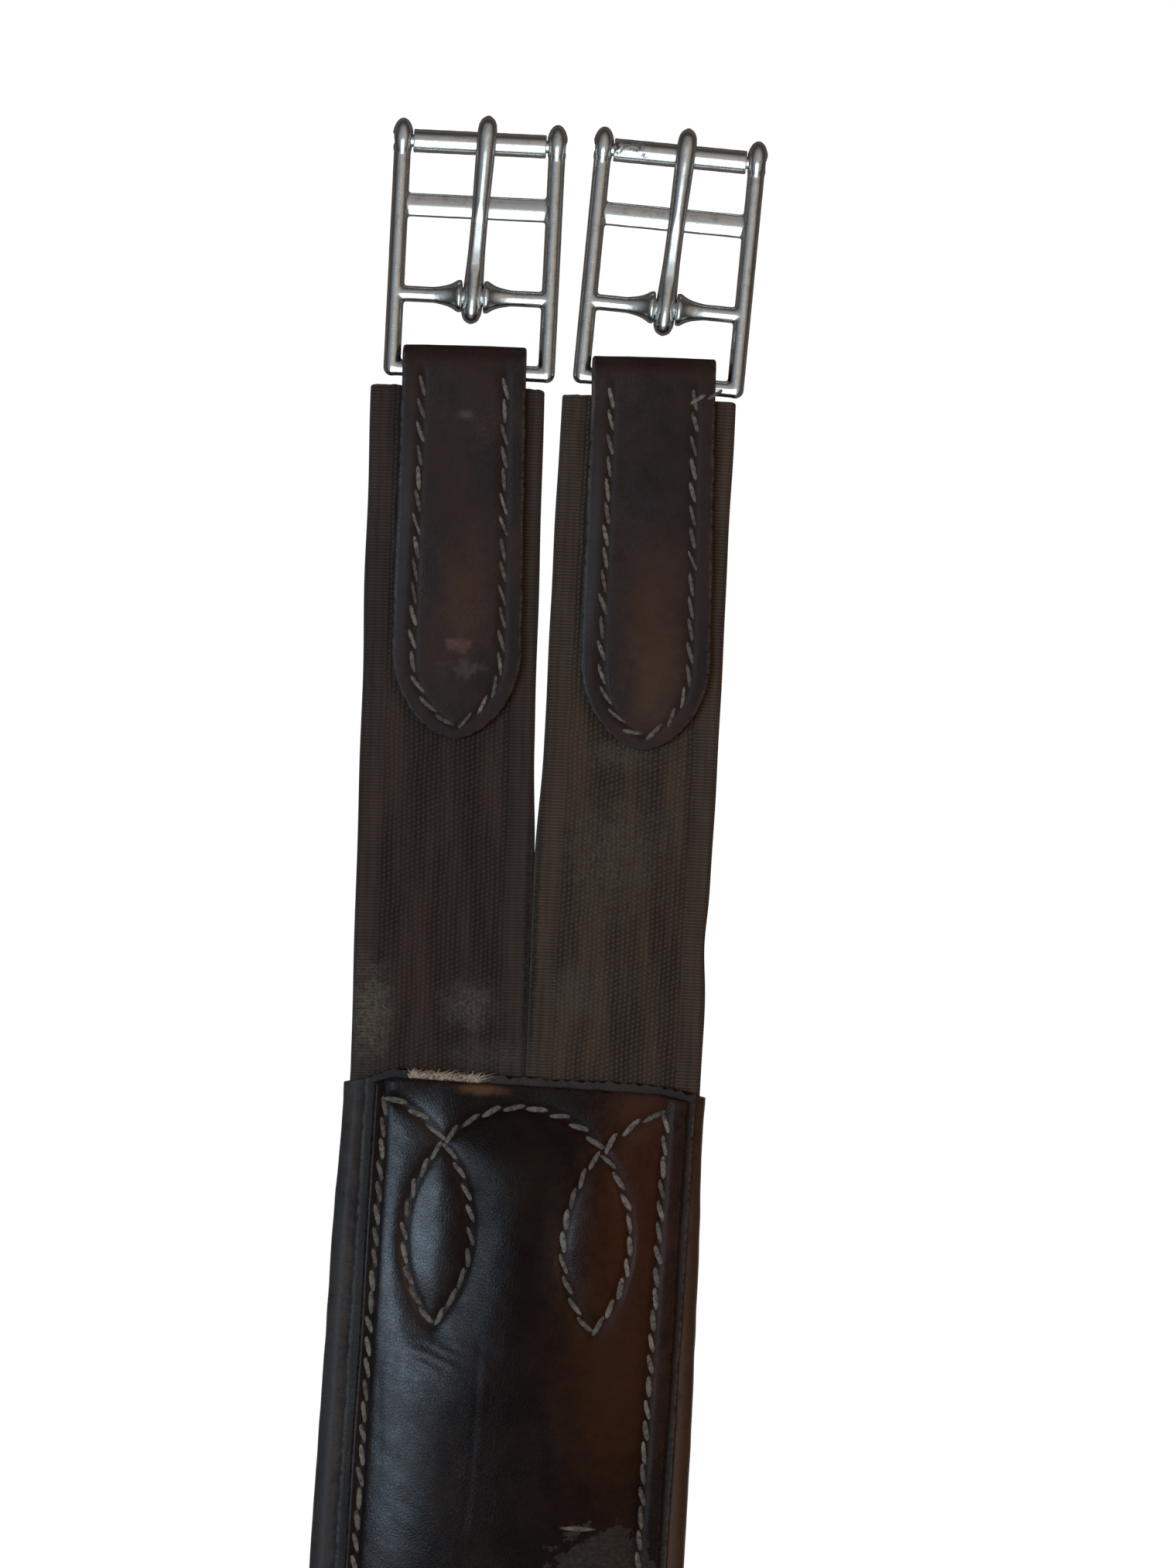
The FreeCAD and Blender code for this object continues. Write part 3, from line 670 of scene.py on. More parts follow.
def tabHalfWidth(fromTip):
    # the tab's half width: a blunt pointed arch over the last 18 mm, then nearly straight
    shape = chapeShape
    part = np.clip(fromTip / shape["arch"], 0, 1)
    arch = (1 - (1 - part) ** 2) ** shape["archPower"]
    taper = smooth(shape["arch"], shape["length"], fromTip)
    return arch * (shape["tabHalf"] + (shape["foldHalf"] - shape["tabHalf"]) * taper)


def seamHalfWidth(fromTip):
    # where the seam runs: the same distance in from both edges, closing as a circle's arc to a point
    shape = chapeShape
    full = shape["tabHalf"] - shape["seamInset"]
    beyond = np.clip(shape["seamTip"] + shape["seamArch"] - fromTip, 0, shape["seamArch"])
    radius = (full ** 2 + shape["seamArch"] ** 2) / (2 * full)
    taper = (shape["tabHalf"] - shape["foldHalf"]) * smooth(shape["arch"], shape["length"], fromTip)
    return full - radius + np.sqrt(radius ** 2 - beyond ** 2) - taper


def chapePath():
    # the U seen edge on: distance from the tip, place along the tab, height and normal, back tip to front tip
    shape = chapeShape
    nearTip = shape["arch"] * np.linspace(0.03, 1, 26) ** 2
    straight = np.arange(shape["arch"] + 1, shape["length"] + shape["slack"] - 0.5, 1.0)
    tab = np.concatenate([nearTip, straight])
    turn = np.linspace(-np.pi / 2, np.pi / 2, 21)
    centre = (shape["outer"] + shape["inner"]) / 2
    y = np.concatenate([tab - shape["length"], shape["slack"] + centre * np.cos(turn),
                        (tab - shape["length"])[::-1]])
    z = np.concatenate([np.full(len(tab), -centre), centre * np.sin(turn), np.full(len(tab), centre)])
    normalY = np.concatenate([np.zeros(len(tab)), np.cos(turn), np.zeros(len(tab))])
    normalZ = np.concatenate([np.full(len(tab), -1.0), np.sin(turn), np.ones(len(tab))])
    fromTip = np.concatenate([tab, np.full(len(turn), shape["length"] + 4), tab[::-1]])
    return fromTip, y, z, normalY, normalZ


def makeChape(name):
    shape, place = chapeShape, places[name]
    fromTip, y, z, normalY, normalZ = chapePath()
    half = tabHalfWidth(fromTip)[:, None]
    fromEdge = np.array([0, 0.04, 0.16, 0.34, 0.6, 1.0])
    inner = np.linspace(-1, 1, 33)
    core = np.maximum(half - 1.6, 0.02)
    edges = np.maximum(half - fromEdge, 0.03 - 0.004 * fromEdge)
    x = np.concatenate([-edges, inner * core, edges[:, ::-1]], 1)
    gap = np.clip(half - np.abs(x), 0, shape["bevel"])
    bevel = shape["leather"] / 2 * 0.8 * (1 - np.sqrt(1 - (1 - gap / shape["bevel"]) ** 2))
    away = np.abs(np.abs(x) - seamHalfWidth(fromTip)[:, None])
    sewn = smooth(shape["seamTip"] - 0.8, shape["seamTip"] + 0.4,
                  fromTip)[:, None] * smooth(76, 72, fromTip)[:, None]
    dent = np.exp(-(away / 0.7) ** 2) * sewn
    pillow = shape["pillow"] * (1 - (x / half) ** 2) * smooth(1, 14, fromTip)[:, None]
    rough = 0.035 * wander(x, y[:, None] + 90 * (z[:, None] > 0), straps[name]["seed"] + 60, 9)
    outer = shape["leather"] / 2 - bevel - shape["dent"] * dent + pillow + rough
    inside = -(shape["leather"] / 2 - bevel * 0.7)
    out = np.concatenate([outer, inside[:, ::-1]], 1)
    x = np.concatenate([x, x[:, ::-1]], 1)
    edgeWave = 0.1 * wander(y[:, None], np.sign(x) * 30, straps[name]["seed"] + 61,
                            17) * smooth(3, 0, half - np.abs(x))
    x = x + np.sign(x) * edgeWave * smooth(2, 9, fromTip)[:, None]
    localY = y[:, None] + normalY[:, None] * out
    localZ = z[:, None] + normalZ[:, None] * out
    points = (place["chape"] + place["tabAcross"] * x[..., None] + place["tab"] * localY[..., None]
              + np.array([0, 0, 1.0]) * localZ[..., None])
    points[:, :, 2] = np.maximum(points[:, :, 2], 0.0)
    plain = np.ones(inside.shape)
    rim = np.concatenate([smooth(0.75, 0.2, half - np.abs(x[:, :inside.shape[1]])), plain], 1)
    piece = makeTubes(name + "_chape_leather", points, place=np.stack([x, localY + 100 * (localZ > 0)], -1),
                      marks={"rim": rim, "groove": np.concatenate([dent, plain * 0], 1)})
    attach(piece, name + "_chape_body")
    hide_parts(name + "_chape")
    return piece


def makeChapeStitching(name):
    shape, place = chapeShape, places[name]
    fromTip = np.arange(shape["seamTip"] + 0.05, shape["length"] - 1, 0.4)
    runs = []
    for face in (1, -1):
        for side in (1, -1):
            x = side * seamHalfWidth(fromTip)
            surface = face * (shape["outer"] - shape["dent"] + 0.12 + (0.03 if face < 0 else 0))
            local = (place["chape"] + place["tabAcross"] * x[:, None]
                     + place["tab"] * (fromTip - shape["length"])[:, None] + np.array([0, 0, surface]))
            runs.append((local[::-1], (0, 0, face)))
    if name == "near_right":
        corner = np.array([[seamHalfWidth(np.array([70.0]))[0] + t, -3.4 + 0.25 * t,
                            shape["outer"] - 0.1 - 0.16 * max(0, t - 3.4)]
                           for t in np.linspace(-1.2, 5.6, 14)])
        runs.append((place["chape"] + place["tabAcross"] * corner[:, :1] + place["tab"] * corner[:, 1:2]
                     + np.array([0, 0, 1.0]) * corner[:, 2:], (0, 0, 1)))
    look = {**threadLook, "pitch": 4.5, "length": 4.95, "width": 0.9, "lift": 0.16}
    piece = makeStitching(name + "_chape_threads", runs, look, straps[name]["seed"] * 10)
    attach(piece, name + "_chape_body")
    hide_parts(name + "_chape_stitching")
    return piece


# torn fibres at the near mouth, left of the middle

def makeFibres():
    # thin tapering ribbons laid side by side, each a short strip with a seeded lean and curl
    draw = np.random.default_rng(77)
    count = 190
    x = draw.uniform(-23.5, -9.3, count)
    length = draw.uniform(0.5, 1.5, count)
    lean = draw.normal(1.2, 1.6, count)
    part = np.linspace(0, 1, 5)
    width = draw.uniform(0.12, 0.3, count)[:, None] * (1 - 0.75 * part ** 2)
    centreX = x[:, None] + lean[:, None] * part * length[:, None] + 0.25 * np.sin(part * 3 + x[:, None])
    centreY = mouth - 1.0 + part * length[:, None] + draw.uniform(-0.4, 0.8, count)[:, None]
    arch = draw.uniform(0, 0.25, count)[:, None] * np.sin(part * np.pi)
    droop = 1.2 * smooth(0.55, 1, part) * draw.uniform(0.2, 1, count)[:, None]
    centreZ = panelLow[2] + 0.08 + arch - droop
    thick = 0.09
    rings = np.empty((count, 5, 4, 3))
    for corner, (across, up) in enumerate(((-1, 0), (0, 1), (1, 0), (0, -1))):
        rings[:, :, corner, 0] = centreX + across * width
        rings[:, :, corner, 1] = centreY
        rings[:, :, corner, 2] = centreZ + up * thick
    return makeTubes("torn_edge_fibres", rings)


# buckles: castings with soft corners, a revolved roller and a forged tongue

castShape = {
    "voxel": 0.24, "passes": 13, "regain": 0.085, "middleBar": 33.0, "crownHalf": (2.2, 1.25),
    "crownDrop": 0.3, "insideHalf": 13.9, "rollerRadius": 2.35, "rollerRound": 0.22, "rollerEndGap": 0.3,
    "collarStart": 2.2,
    "collar": [(0, 2.0), (0, 2.85), (0.12, 3.12), (0.4, 3.27), (0.8, 3.22), (1.4, 2.8), (2.2, 2.35),
               (3.2, 2.0), (4.4, 1.75), (5.4, 1.6), (5.6, 1.0)],
}


def buckleFrame(name):
    # the buckle's own axes: X along its bars, Y up the frame, Z out of its face
    bar = places[name]["bar"]
    roller = np.array(joints[name + "_roller_spin"]["pos_m"]) / mm
    x = places[name]["barAxis"] / np.linalg.norm(places[name]["barAxis"])
    y = (roller - bar) / np.linalg.norm(roller - bar)
    return bar, roller, x, y, np.cross(x, y)


def makeCasting(name):
    # the casting's merged copy and a crown for the middle bar, made one skin, smoothed, then let out again
    shape = castShape
    source = nodes[name + "_buckle_frame"].data
    points = readOut(source.vertices, "co").reshape(-1, 3).tolist()
    faces = readOut(source.loops, "vertex_index", 1, int).reshape(-1, 3).tolist()
    bar, _, x, y, z = buckleFrame(name)
    turn = wholeTurn(32)
    ends = np.array([-1, 1]) * (shape["insideHalf"] + 0.6)
    crown = (bar + y * shape["middleBar"] - z * shape["crownDrop"] + x * ends[:, None, None]
             + y * (shape["crownHalf"][0] * np.cos(turn))[None, :, None]
             + z * (shape["crownHalf"][1] * np.sin(turn))[None, :, None])
    hinge = np.array(joints[name + "_tongue_lift"]["pos_m"]) / mm
    out, wide = np.array(shape["collar"]).T
    ring = y * (wide[:, None] * np.cos(turn))[..., None] + z * (wide[:, None] * np.sin(turn))[..., None]
    collars = [hinge + x * (side * (shape["collarStart"] + out))[:, None, None] + ring for side in (-1, 1)]
    for rings in [crown] + collars:
        for found in tubeFaces(len(rings), len(turn)):
            faces += (found + len(points)).tolist()
        points += (rings.reshape(-1, 3) * mm).tolist()
    mesh = bpy.data.meshes.new(name + "_casting")
    mesh.from_pydata(points, [], faces)
    faceOutwards(mesh, 1e-7)
    rough = addObject(name + "_casting", mesh)
    skin = rough.modifiers.new("skin", "REMESH")
    skin.mode, skin.voxel_size = "VOXEL", shape["voxel"] * mm
    ease = rough.modifiers.new("ease", "SMOOTH")
    ease.iterations, ease.factor = shape["passes"], 0.5
    final = bpy.data.meshes.new_from_object(rough.evaluated_get(bpy.context.evaluated_depsgraph_get()))
    bpy.data.objects.remove(rough)
    normals = readOut(final.vertex_normals, "vector")
    final.vertices.foreach_set("co", readOut(final.vertices, "co") + normals * shape["regain"] * mm)
    final.polygons.foreach_set("use_smooth", [True] * len(final.polygons))
    final.materials.clear()
    piece = addObject(name + "_buckle_casting", final)
    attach(piece, name + "_buckle_body")
    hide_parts(name + "_buckle_frame")
    return piece


def makeRoller(name):
    # a turned profile: radius against place along the pin, carried round
    shape = castShape
    _, roller, x, y, z = buckleFrame(name)
    ease = shape["rollerRound"] * (1 - np.cos(np.linspace(0, 1, 5) * np.pi / 2))
    low, high = boxOf(name + "_roller")
    half = (high[0] - low[0]) / 2 / abs(x[0]) + shape["rollerEndGap"] - 0.05
    place = np.concatenate([[-half + 0.05], -half + ease, np.linspace(-half + 1, half - 1, 24),
                            (half - ease)[::-1], [half - 0.05]])
    inset = shape["rollerRound"] * (1 - np.sin(np.linspace(0, 1, 5) * np.pi / 2))
    radius = shape["rollerRadius"] - np.concatenate([[0.9], inset, np.zeros(24), inset[::-1], [0.9]])
    turn = wholeTurn(48)
    wear = 0.02 * np.sin(place * 1.7)[:, None] * np.cos(turn * 2)
    wide = radius[:, None] + wear
    middle = roller + x * (((low[0] + high[0]) / 2 - roller[0]) / x[0])
    rings = (middle + x * place[:, None, None] + y * (wide * np.cos(turn))[..., None]
             + z * (wide * np.sin(turn))[..., None])
    piece = makeTubes(name + "_turned_roller", rings)
    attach(piece, name + "_roller_body")
    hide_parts(name + "_roller")
    return piece


tongueShape = {
    "y": [-5.5, -5.3, -4.7, -3.6, -2.2, -0.6, 1.2, 3.2, 5.5, 9, 14, 19, 24, 29, 32.5, 34.5, 35.7, 36.3],
    "half": [0.15, 0.9, 1.55, 2.0, 2.12, 2.12, 2.05, 1.95, 1.85, 1.72, 1.68,
             1.75, 1.85, 1.95, 2.0, 1.8, 1.25, 0.3],
    "tall": [0.2, 1.1, 1.9, 2.6, 3.0, 3.15, 3.0, 2.6, 2.2, 1.9, 1.75, 1.75, 1.75, 1.8, 1.8, 1.6, 1.1, 0.3],
    "lift": [-0.5, -0.4, -0.2, 0.0, 0.0, 0.0, 0.15, 0.45, 0.8, 1.25, 1.85,
             2.45, 3.05, 3.5, 3.65, 3.45, 3.05, 2.7],
    "facetFrom": 5.0, "facetTo": 17.5, "facet": 0.10,
    "leans": {"near_left": 2.5, "near_right": 2.0, "off_left": -1.2, "off_right": -2.2},
}


def makeTongue(name):
    # stations along the tongue, each an oval of its own width, height and lift, joined smoothly
    shape = tongueShape
    x, y, z = buckleFrame(name)[2:]
    hinge = np.array(joints[name + "_tongue_lift"]["pos_m"]) / mm
    lean = math.radians(shape["leans"][name])
    ahead = y * math.cos(lean) + x * math.sin(lean)
    across = np.cross(ahead, z)
    stations = np.array(shape["y"])
    fine = np.concatenate([np.linspace(stations[0], -3, 16)[:-1], np.linspace(-3, 31, 62),
                           np.linspace(31, stations[-1], 18)[1:]])
    half, tall, lift = [np.interp(fine, stations, shape[key]) for key in ("half", "tall", "lift")]
    for values in (half, tall, lift):
        for _ in range(2):
            values[1:-1] = (values[:-2] + 2 * values[1:-1] + values[2:]) / 4
    turn = wholeTurn(36)
    up = np.sin(turn)[None, :] * tall[:, None]
    planed = shape["facet"] * smooth(shape["facetFrom"] - 1.5, shape["facetFrom"] + 1, fine)
    planed = planed * smooth(shape["facetTo"] + 1.5, shape["facetTo"] - 3, fine)
    up = np.minimum(up, (tall * (1 - planed))[:, None])
    rings = (hinge + ahead * fine[:, None, None] + across * (half[:, None] * np.cos(turn))[..., None]
             + z * (lift[:, None] + up)[..., None])
    piece = makeTubes(name + "_forged_tongue", rings, sharp=60)
    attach(piece, name + "_tongue_body")
    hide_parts(name + "_tongue")
    return piece


castings = [makeCasting(name) for name in strapNames]
rollers = [makeRoller(name) for name in strapNames]
tongues = [makeTongue(name) for name in strapNames]
castPieces = castings + rollers + tongues
print("buckles made")
frontPanel = makeFrontPanel()
backing = makeBacking()
lining = makeLining()
foam = makeFoam()
fibres = makeFibres()
print("leather body made")
frontRuns, backRuns = bothFaces(sideLines)
sideThreads = makeStitching("side_seam_threads", frontRuns, threadLook, 100)
sideThreadsBack = makeStitching("side_seam_threads_back", backRuns, backLook, 120)
scrollThreads = []
for end, word in ((1, "near"), (-1, "off")):
    frontRuns, backRuns = bothFaces(scrolls[end])
    front = makeStitching(word + "_scroll_threads", frontRuns, threadLook, 140 + end)
    back = makeStitching(word + "_scroll_threads_back", backRuns, backLook, 170 + end)
    for piece in (front, back):
        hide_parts(word + "_scroll_stitching")
    scrollThreads += [front, back]
for piece in (sideThreads, sideThreadsBack):
    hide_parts("side_seam_stitching")
for piece, node, slot in ((frontPanel, "front_panel", "panel_leather"),
                          (backing, "backing_leather", "panel_leather"),
                          (lining, "lining_leather", "lining_leather"), (foam, "foam_pad", "foam")):
    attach(piece, "root")
    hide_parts(node)
for piece in [sideThreads, sideThreadsBack] + scrollThreads:
    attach(piece, "root")
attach(fibres, "root")
elastics = [piece for name in strapNames for piece in makeElastic(name)]
chapes = [makeChape(name) for name in strapNames]
chapeThreads = [makeChapeStitching(name) for name in strapNames]
print("straps made")


# materials

def wire(tree, sockets, given):
    # links each socket that is given an output, and sets the others' own values
    for name, value in given.items():
        if isinstance(value, bpy.types.NodeSocket):
            tree.links.new(value, sockets[name])
        else:
            sockets[name].default_value = value


def put(tree, kind, inputs=None, **settings):
    node = tree.nodes.new(kind)
    for name, value in settings.items():
        setattr(node, name, value)
    wire(tree, node.inputs, inputs or {})
    return node


def calc(tree, operation, first, second=0.0, third=0.0, clamp=False):
    return put(tree, "ShaderNodeMath", {0: first, 1: second, 2: third}, operation=operation,
               use_clamp=clamp).outputs[0]


def times(tree, first, second, clamp=False):
    return calc(tree, "MULTIPLY", first, second, clamp=clamp)


def timesPlus(tree, first, second, third):
    return calc(tree, "MULTIPLY_ADD", first, second, third)


def strongest(tree, found, mask):
    return mask if found is None else calc(tree, "MAXIMUM", found, mask)


def noiseOf(tree, place, scale, detail=3.0, roughness=0.55, distortion=0.0):
    # scale is in marks to the millimetre
    return put(tree, "ShaderNodeTexNoise", {"Vector": place, "Scale": scale / mm, "Detail": detail,
                                            "Roughness": roughness, "Distortion": distortion}).outputs[0]


def between(tree, value, low, high):
    return put(tree, "ShaderNodeMapRange", {"Value": value, "From Min": low, "From Max": high},
               interpolation_type="SMOOTHSTEP").outputs[0]


def mixed(tree, amount, first, second, mode="MIX"):
    return put(tree, "ShaderNodeMix", {0: amount, 6: first, 7: second}, data_type="RGBA",
               blend_type=mode).outputs[2]


def stretched(tree, place, scale=(1, 1, 1), turn=(0, 0, 0), shift=(0, 0, 0)):
    return put(tree, "ShaderNodeMapping",
               {"Vector": place, "Scale": scale, "Rotation": turn, "Location": shift}).outputs[0]


def colour(red, green, blue):
    return (red, green, blue, 1.0)


def newGroup(name, inputs, outputs):
    tree = bpy.data.node_groups.new(name, "ShaderNodeTree")
    for socket, kind, value in inputs:
        made = tree.interface.new_socket(socket, in_out="INPUT", socket_type="NodeSocket" + kind)
        if value is not None:
            made.default_value = value
    for socket, kind in outputs:
        tree.interface.new_socket(socket, in_out="OUTPUT", socket_type="NodeSocket" + kind)
    return tree, tree.nodes.new("NodeGroupInput").outputs, tree.nodes.new("NodeGroupOutput").inputs


def emptied(owner):
    owner.use_nodes = True
    owner.node_tree.nodes.clear()
    return owner.node_tree


def placed(tree, group, inputs):
    return put(tree, "ShaderNodeGroup", inputs, node_tree=group).outputs


# leather grain: fine creased cells, pores and a slow mottle
grainGroup, given, out = newGroup("leatherGrain", [("Vector", "Vector", None), ("Cell", "Float", 1.6)],
                                  [("Height", "Float"), ("Mottle", "Float")])
tree = grainGroup
warp = put(tree, "ShaderNodeTexNoise",
           {"Vector": given["Vector"], "Scale": 900.0, "Detail": 2.0}).outputs["Color"]
bent = put(tree, "ShaderNodeMix", {0: 0.0006, 4: given["Vector"], 5: warp}, data_type="VECTOR").outputs[1]
cellScale = times(tree, given["Cell"], 1000.0)
cells = put(tree, "ShaderNodeTexVoronoi", {"Vector": bent, "Scale": cellScale},
            feature="DISTANCE_TO_EDGE").outputs["Distance"]
pores = between(tree, noiseOf(tree, given["Vector"], 5.5, 2.0), 0.62, 0.74)
creased = between(tree, cells, 0.0, 0.16)
fine = noiseOf(tree, given["Vector"], 2.6, 5.0, 0.7)
height = timesPlus(tree, fine, 0.55, times(tree, creased, 0.35))
wire(tree, out, {"Height": calc(tree, "SUBTRACT", height, times(tree, pores, 0.3)),
                 "Mottle": noiseOf(tree, given["Vector"], 0.09, 5.0, 0.62, 0.6)})

# a patch mask: 1 inside an ellipse, with a ragged outline; it places wear and also painted shade, sheen and
# highlight
raggedEllipseGroup, given, out = newGroup("raggedEllipse", [("Vector", "Vector", None), ("Centre", "Vector", None),
                                               ("Size", "Vector", None),
                                               ("Ragged", "Float", 0.4), ("Soft", "Float", 0.6)],
                                 [("Mask", "Float")])
tree = raggedEllipseGroup
away = put(tree, "ShaderNodeVectorMath", {0: given["Vector"], 1: given["Centre"]},
           operation="SUBTRACT").outputs[0]
scaled = put(tree, "ShaderNodeVectorMath", {0: away, 1: given["Size"]}, operation="DIVIDE").outputs[0]
far = put(tree, "ShaderNodeVectorMath", {0: scaled}, operation="LENGTH").outputs["Value"]
ripple = calc(tree, "SUBTRACT", noiseOf(tree, given["Vector"], 0.35, 5.0, 0.65), 0.5)
far = timesPlus(tree, times(tree, ripple, given["Ragged"]), 2.0, far)
edge = calc(tree, "SUBTRACT", 1.0, given["Soft"])
mask = put(tree, "ShaderNodeMapRange",
           {"Value": far, "From Min": edge, "From Max": 1.0, "To Min": 1.0, "To Max": 0.0},
           interpolation_type="SMOOTHSTEP").outputs[0]
tree.links.new(mask, out["Mask"])

# woven elastic: raised knots in slanting rows, with finely ribbed edges
weaveGroup, given, out = newGroup("wovenElastic", [("Vector", "Vector", None)],
                                  [("Height", "Float"), ("Shade", "Float")])
tree = weaveGroup
inMm = put(tree, "ShaderNodeVectorMath", {0: given["Vector"], 1: (1000.0, 1000.0, 1000.0)},
           operation="MULTIPLY").outputs[0]
parts = put(tree, "ShaderNodeSeparateXYZ", {0: inMm}).outputs
sway = times(tree, calc(tree, "SUBTRACT", noiseOf(tree, given["Vector"], 0.12, 2.0), 0.5), 0.9)
u = calc(tree, "ADD", parts[0], sway)
v = parts[1]


def waves(phase):
    # one rounded hump for every half turn of phase
    return calc(weaveGroup, "ABSOLUTE", calc(weaveGroup, "SINE", phase))


column = times(tree, u, math.pi / 0.95)
rowPhase = timesPlus(tree, v, math.pi, times(tree, u, -math.pi * 0.42))
knots = times(tree, waves(column), calc(tree, "POWER", waves(rowPhase), 0.7))
knots = calc(tree, "POWER", knots, 1.5)
ribs = waves(times(tree, v, math.pi / 0.66))
cords = waves(times(tree, u, math.pi / 1.9))
ribs = times(tree, ribs, timesPlus(tree, cords, 0.4, 0.6))
selvage = between(tree, calc(tree, "ABSOLUTE", parts[0]), 12.2, 13.0)
middle = times(tree, knots, calc(tree, "SUBTRACT", 1.0, selvage))
height = calc(tree, "ADD", middle, times(tree, ribs, selvage))
fuzz = noiseOf(tree, stretched(tree, given["Vector"], (1, 0.25, 1)), 3.0, 3.0, 0.7)
shade = timesPlus(tree, height, 0.75, times(tree, fuzz, 0.35))
wire(tree, out, {"Height": height, "Shade": shade})

# dust and lint: soft pale clouds and a few fine hairs
dustGroup, given, out = newGroup("dustAndLint", [("Vector", "Vector", None), ("Amount", "Float", 0.5)],
                                 [("Mask", "Float")])
tree = dustGroup
cloud = between(tree, noiseOf(tree, given["Vector"], 0.05, 6.0, 0.68), 0.42, 0.72)
speckle = noiseOf(tree, given["Vector"], 2.2, 3.0, 0.75)
dusty = times(tree, cloud, between(tree, speckle, 0.38, 0.7))
hair = put(tree, "ShaderNodeTexNoise",
           {"Vector": stretched(tree, given["Vector"], (1, 0.3, 1), (0, 0, 0.5)), "Scale": 160.0,
                                        "Detail": 1.0, "Distortion": 2.0}).outputs[0]
thin = put(tree, "ShaderNodeMapRange",
           {"Value": calc(tree, "ABSOLUTE", calc(tree, "SUBTRACT", hair, 0.5)), "From Min": 0.0,
                                        "From Max": 0.004, "To Min": 1.0, "To Max": 0.0}).outputs[0]
hairs = times(tree, thin, between(tree, noiseOf(tree, given["Vector"], 0.04, 1.0), 0.56, 0.6))
seen = calc(tree, "MAXIMUM", dusty, times(tree, hairs, 0.5))
wire(tree, out, {"Mask": times(tree, seen, given["Amount"], clamp=True)})

# steel: fine scratches and dull tarnish
steelGroup, given, out = newGroup("handledSteel", [("Vector", "Vector", None)],
                                  [("Scratches", "Float"), ("Tarnish", "Float"), ("Height", "Float")])
tree = steelGroup
fineLines = noiseOf(tree, stretched(tree, given["Vector"], (1, 0.06, 1), (0, 0, 0.35)), 6.0, 3.0, 0.7)
crossLines = noiseOf(tree, stretched(tree, given["Vector"], (0.07, 1, 1), (0, 0, -0.2)), 5.0, 3.0, 0.7)
scratches = between(tree, calc(tree, "MAXIMUM", fineLines, crossLines), 0.58, 0.78)
tarnish = between(tree, noiseOf(tree, given["Vector"], 0.35, 5.0, 0.7), 0.48, 0.7)
height = timesPlus(tree, scratches, -0.4, noiseOf(tree, given["Vector"], 0.9, 3.0, 0.5))
wire(tree, out, {"Scratches": scratches, "Tarnish": tarnish, "Height": height})


def raggedEllipseMask(tree, place, centre, size, ragged, soft):
    # how far inside a ragged ellipse each point is, its centre and size in millimetres
    return placed(tree, raggedEllipseGroup, {"Vector": place, "Centre": [c * mm for c in centre],
                                    "Size": [s * mm for s in size], "Ragged": ragged, "Soft": soft})["Mask"]


def newMaterial(name):
    material = bpy.data.materials.new(name)
    tree = emptied(material)
    shader = tree.nodes.new("ShaderNodeBsdfPrincipled")
    put(tree, "ShaderNodeOutputMaterial", {0: shader.outputs[0]})
    return material, tree, shader.inputs, put(tree, "ShaderNodeTexCoord").outputs["Object"]


def attributeOf(tree, name):
    return put(tree, "ShaderNodeAttribute", attribute_name=name).outputs["Fac"]


def bumped(tree, height, distance, strength=1.0, under=None):
    inputs = {"Height": height, "Distance": distance * mm, "Strength": strength}
    if under is not None:
        inputs["Normal"] = under
    return put(tree, "ShaderNodeBump", inputs).outputs[0]


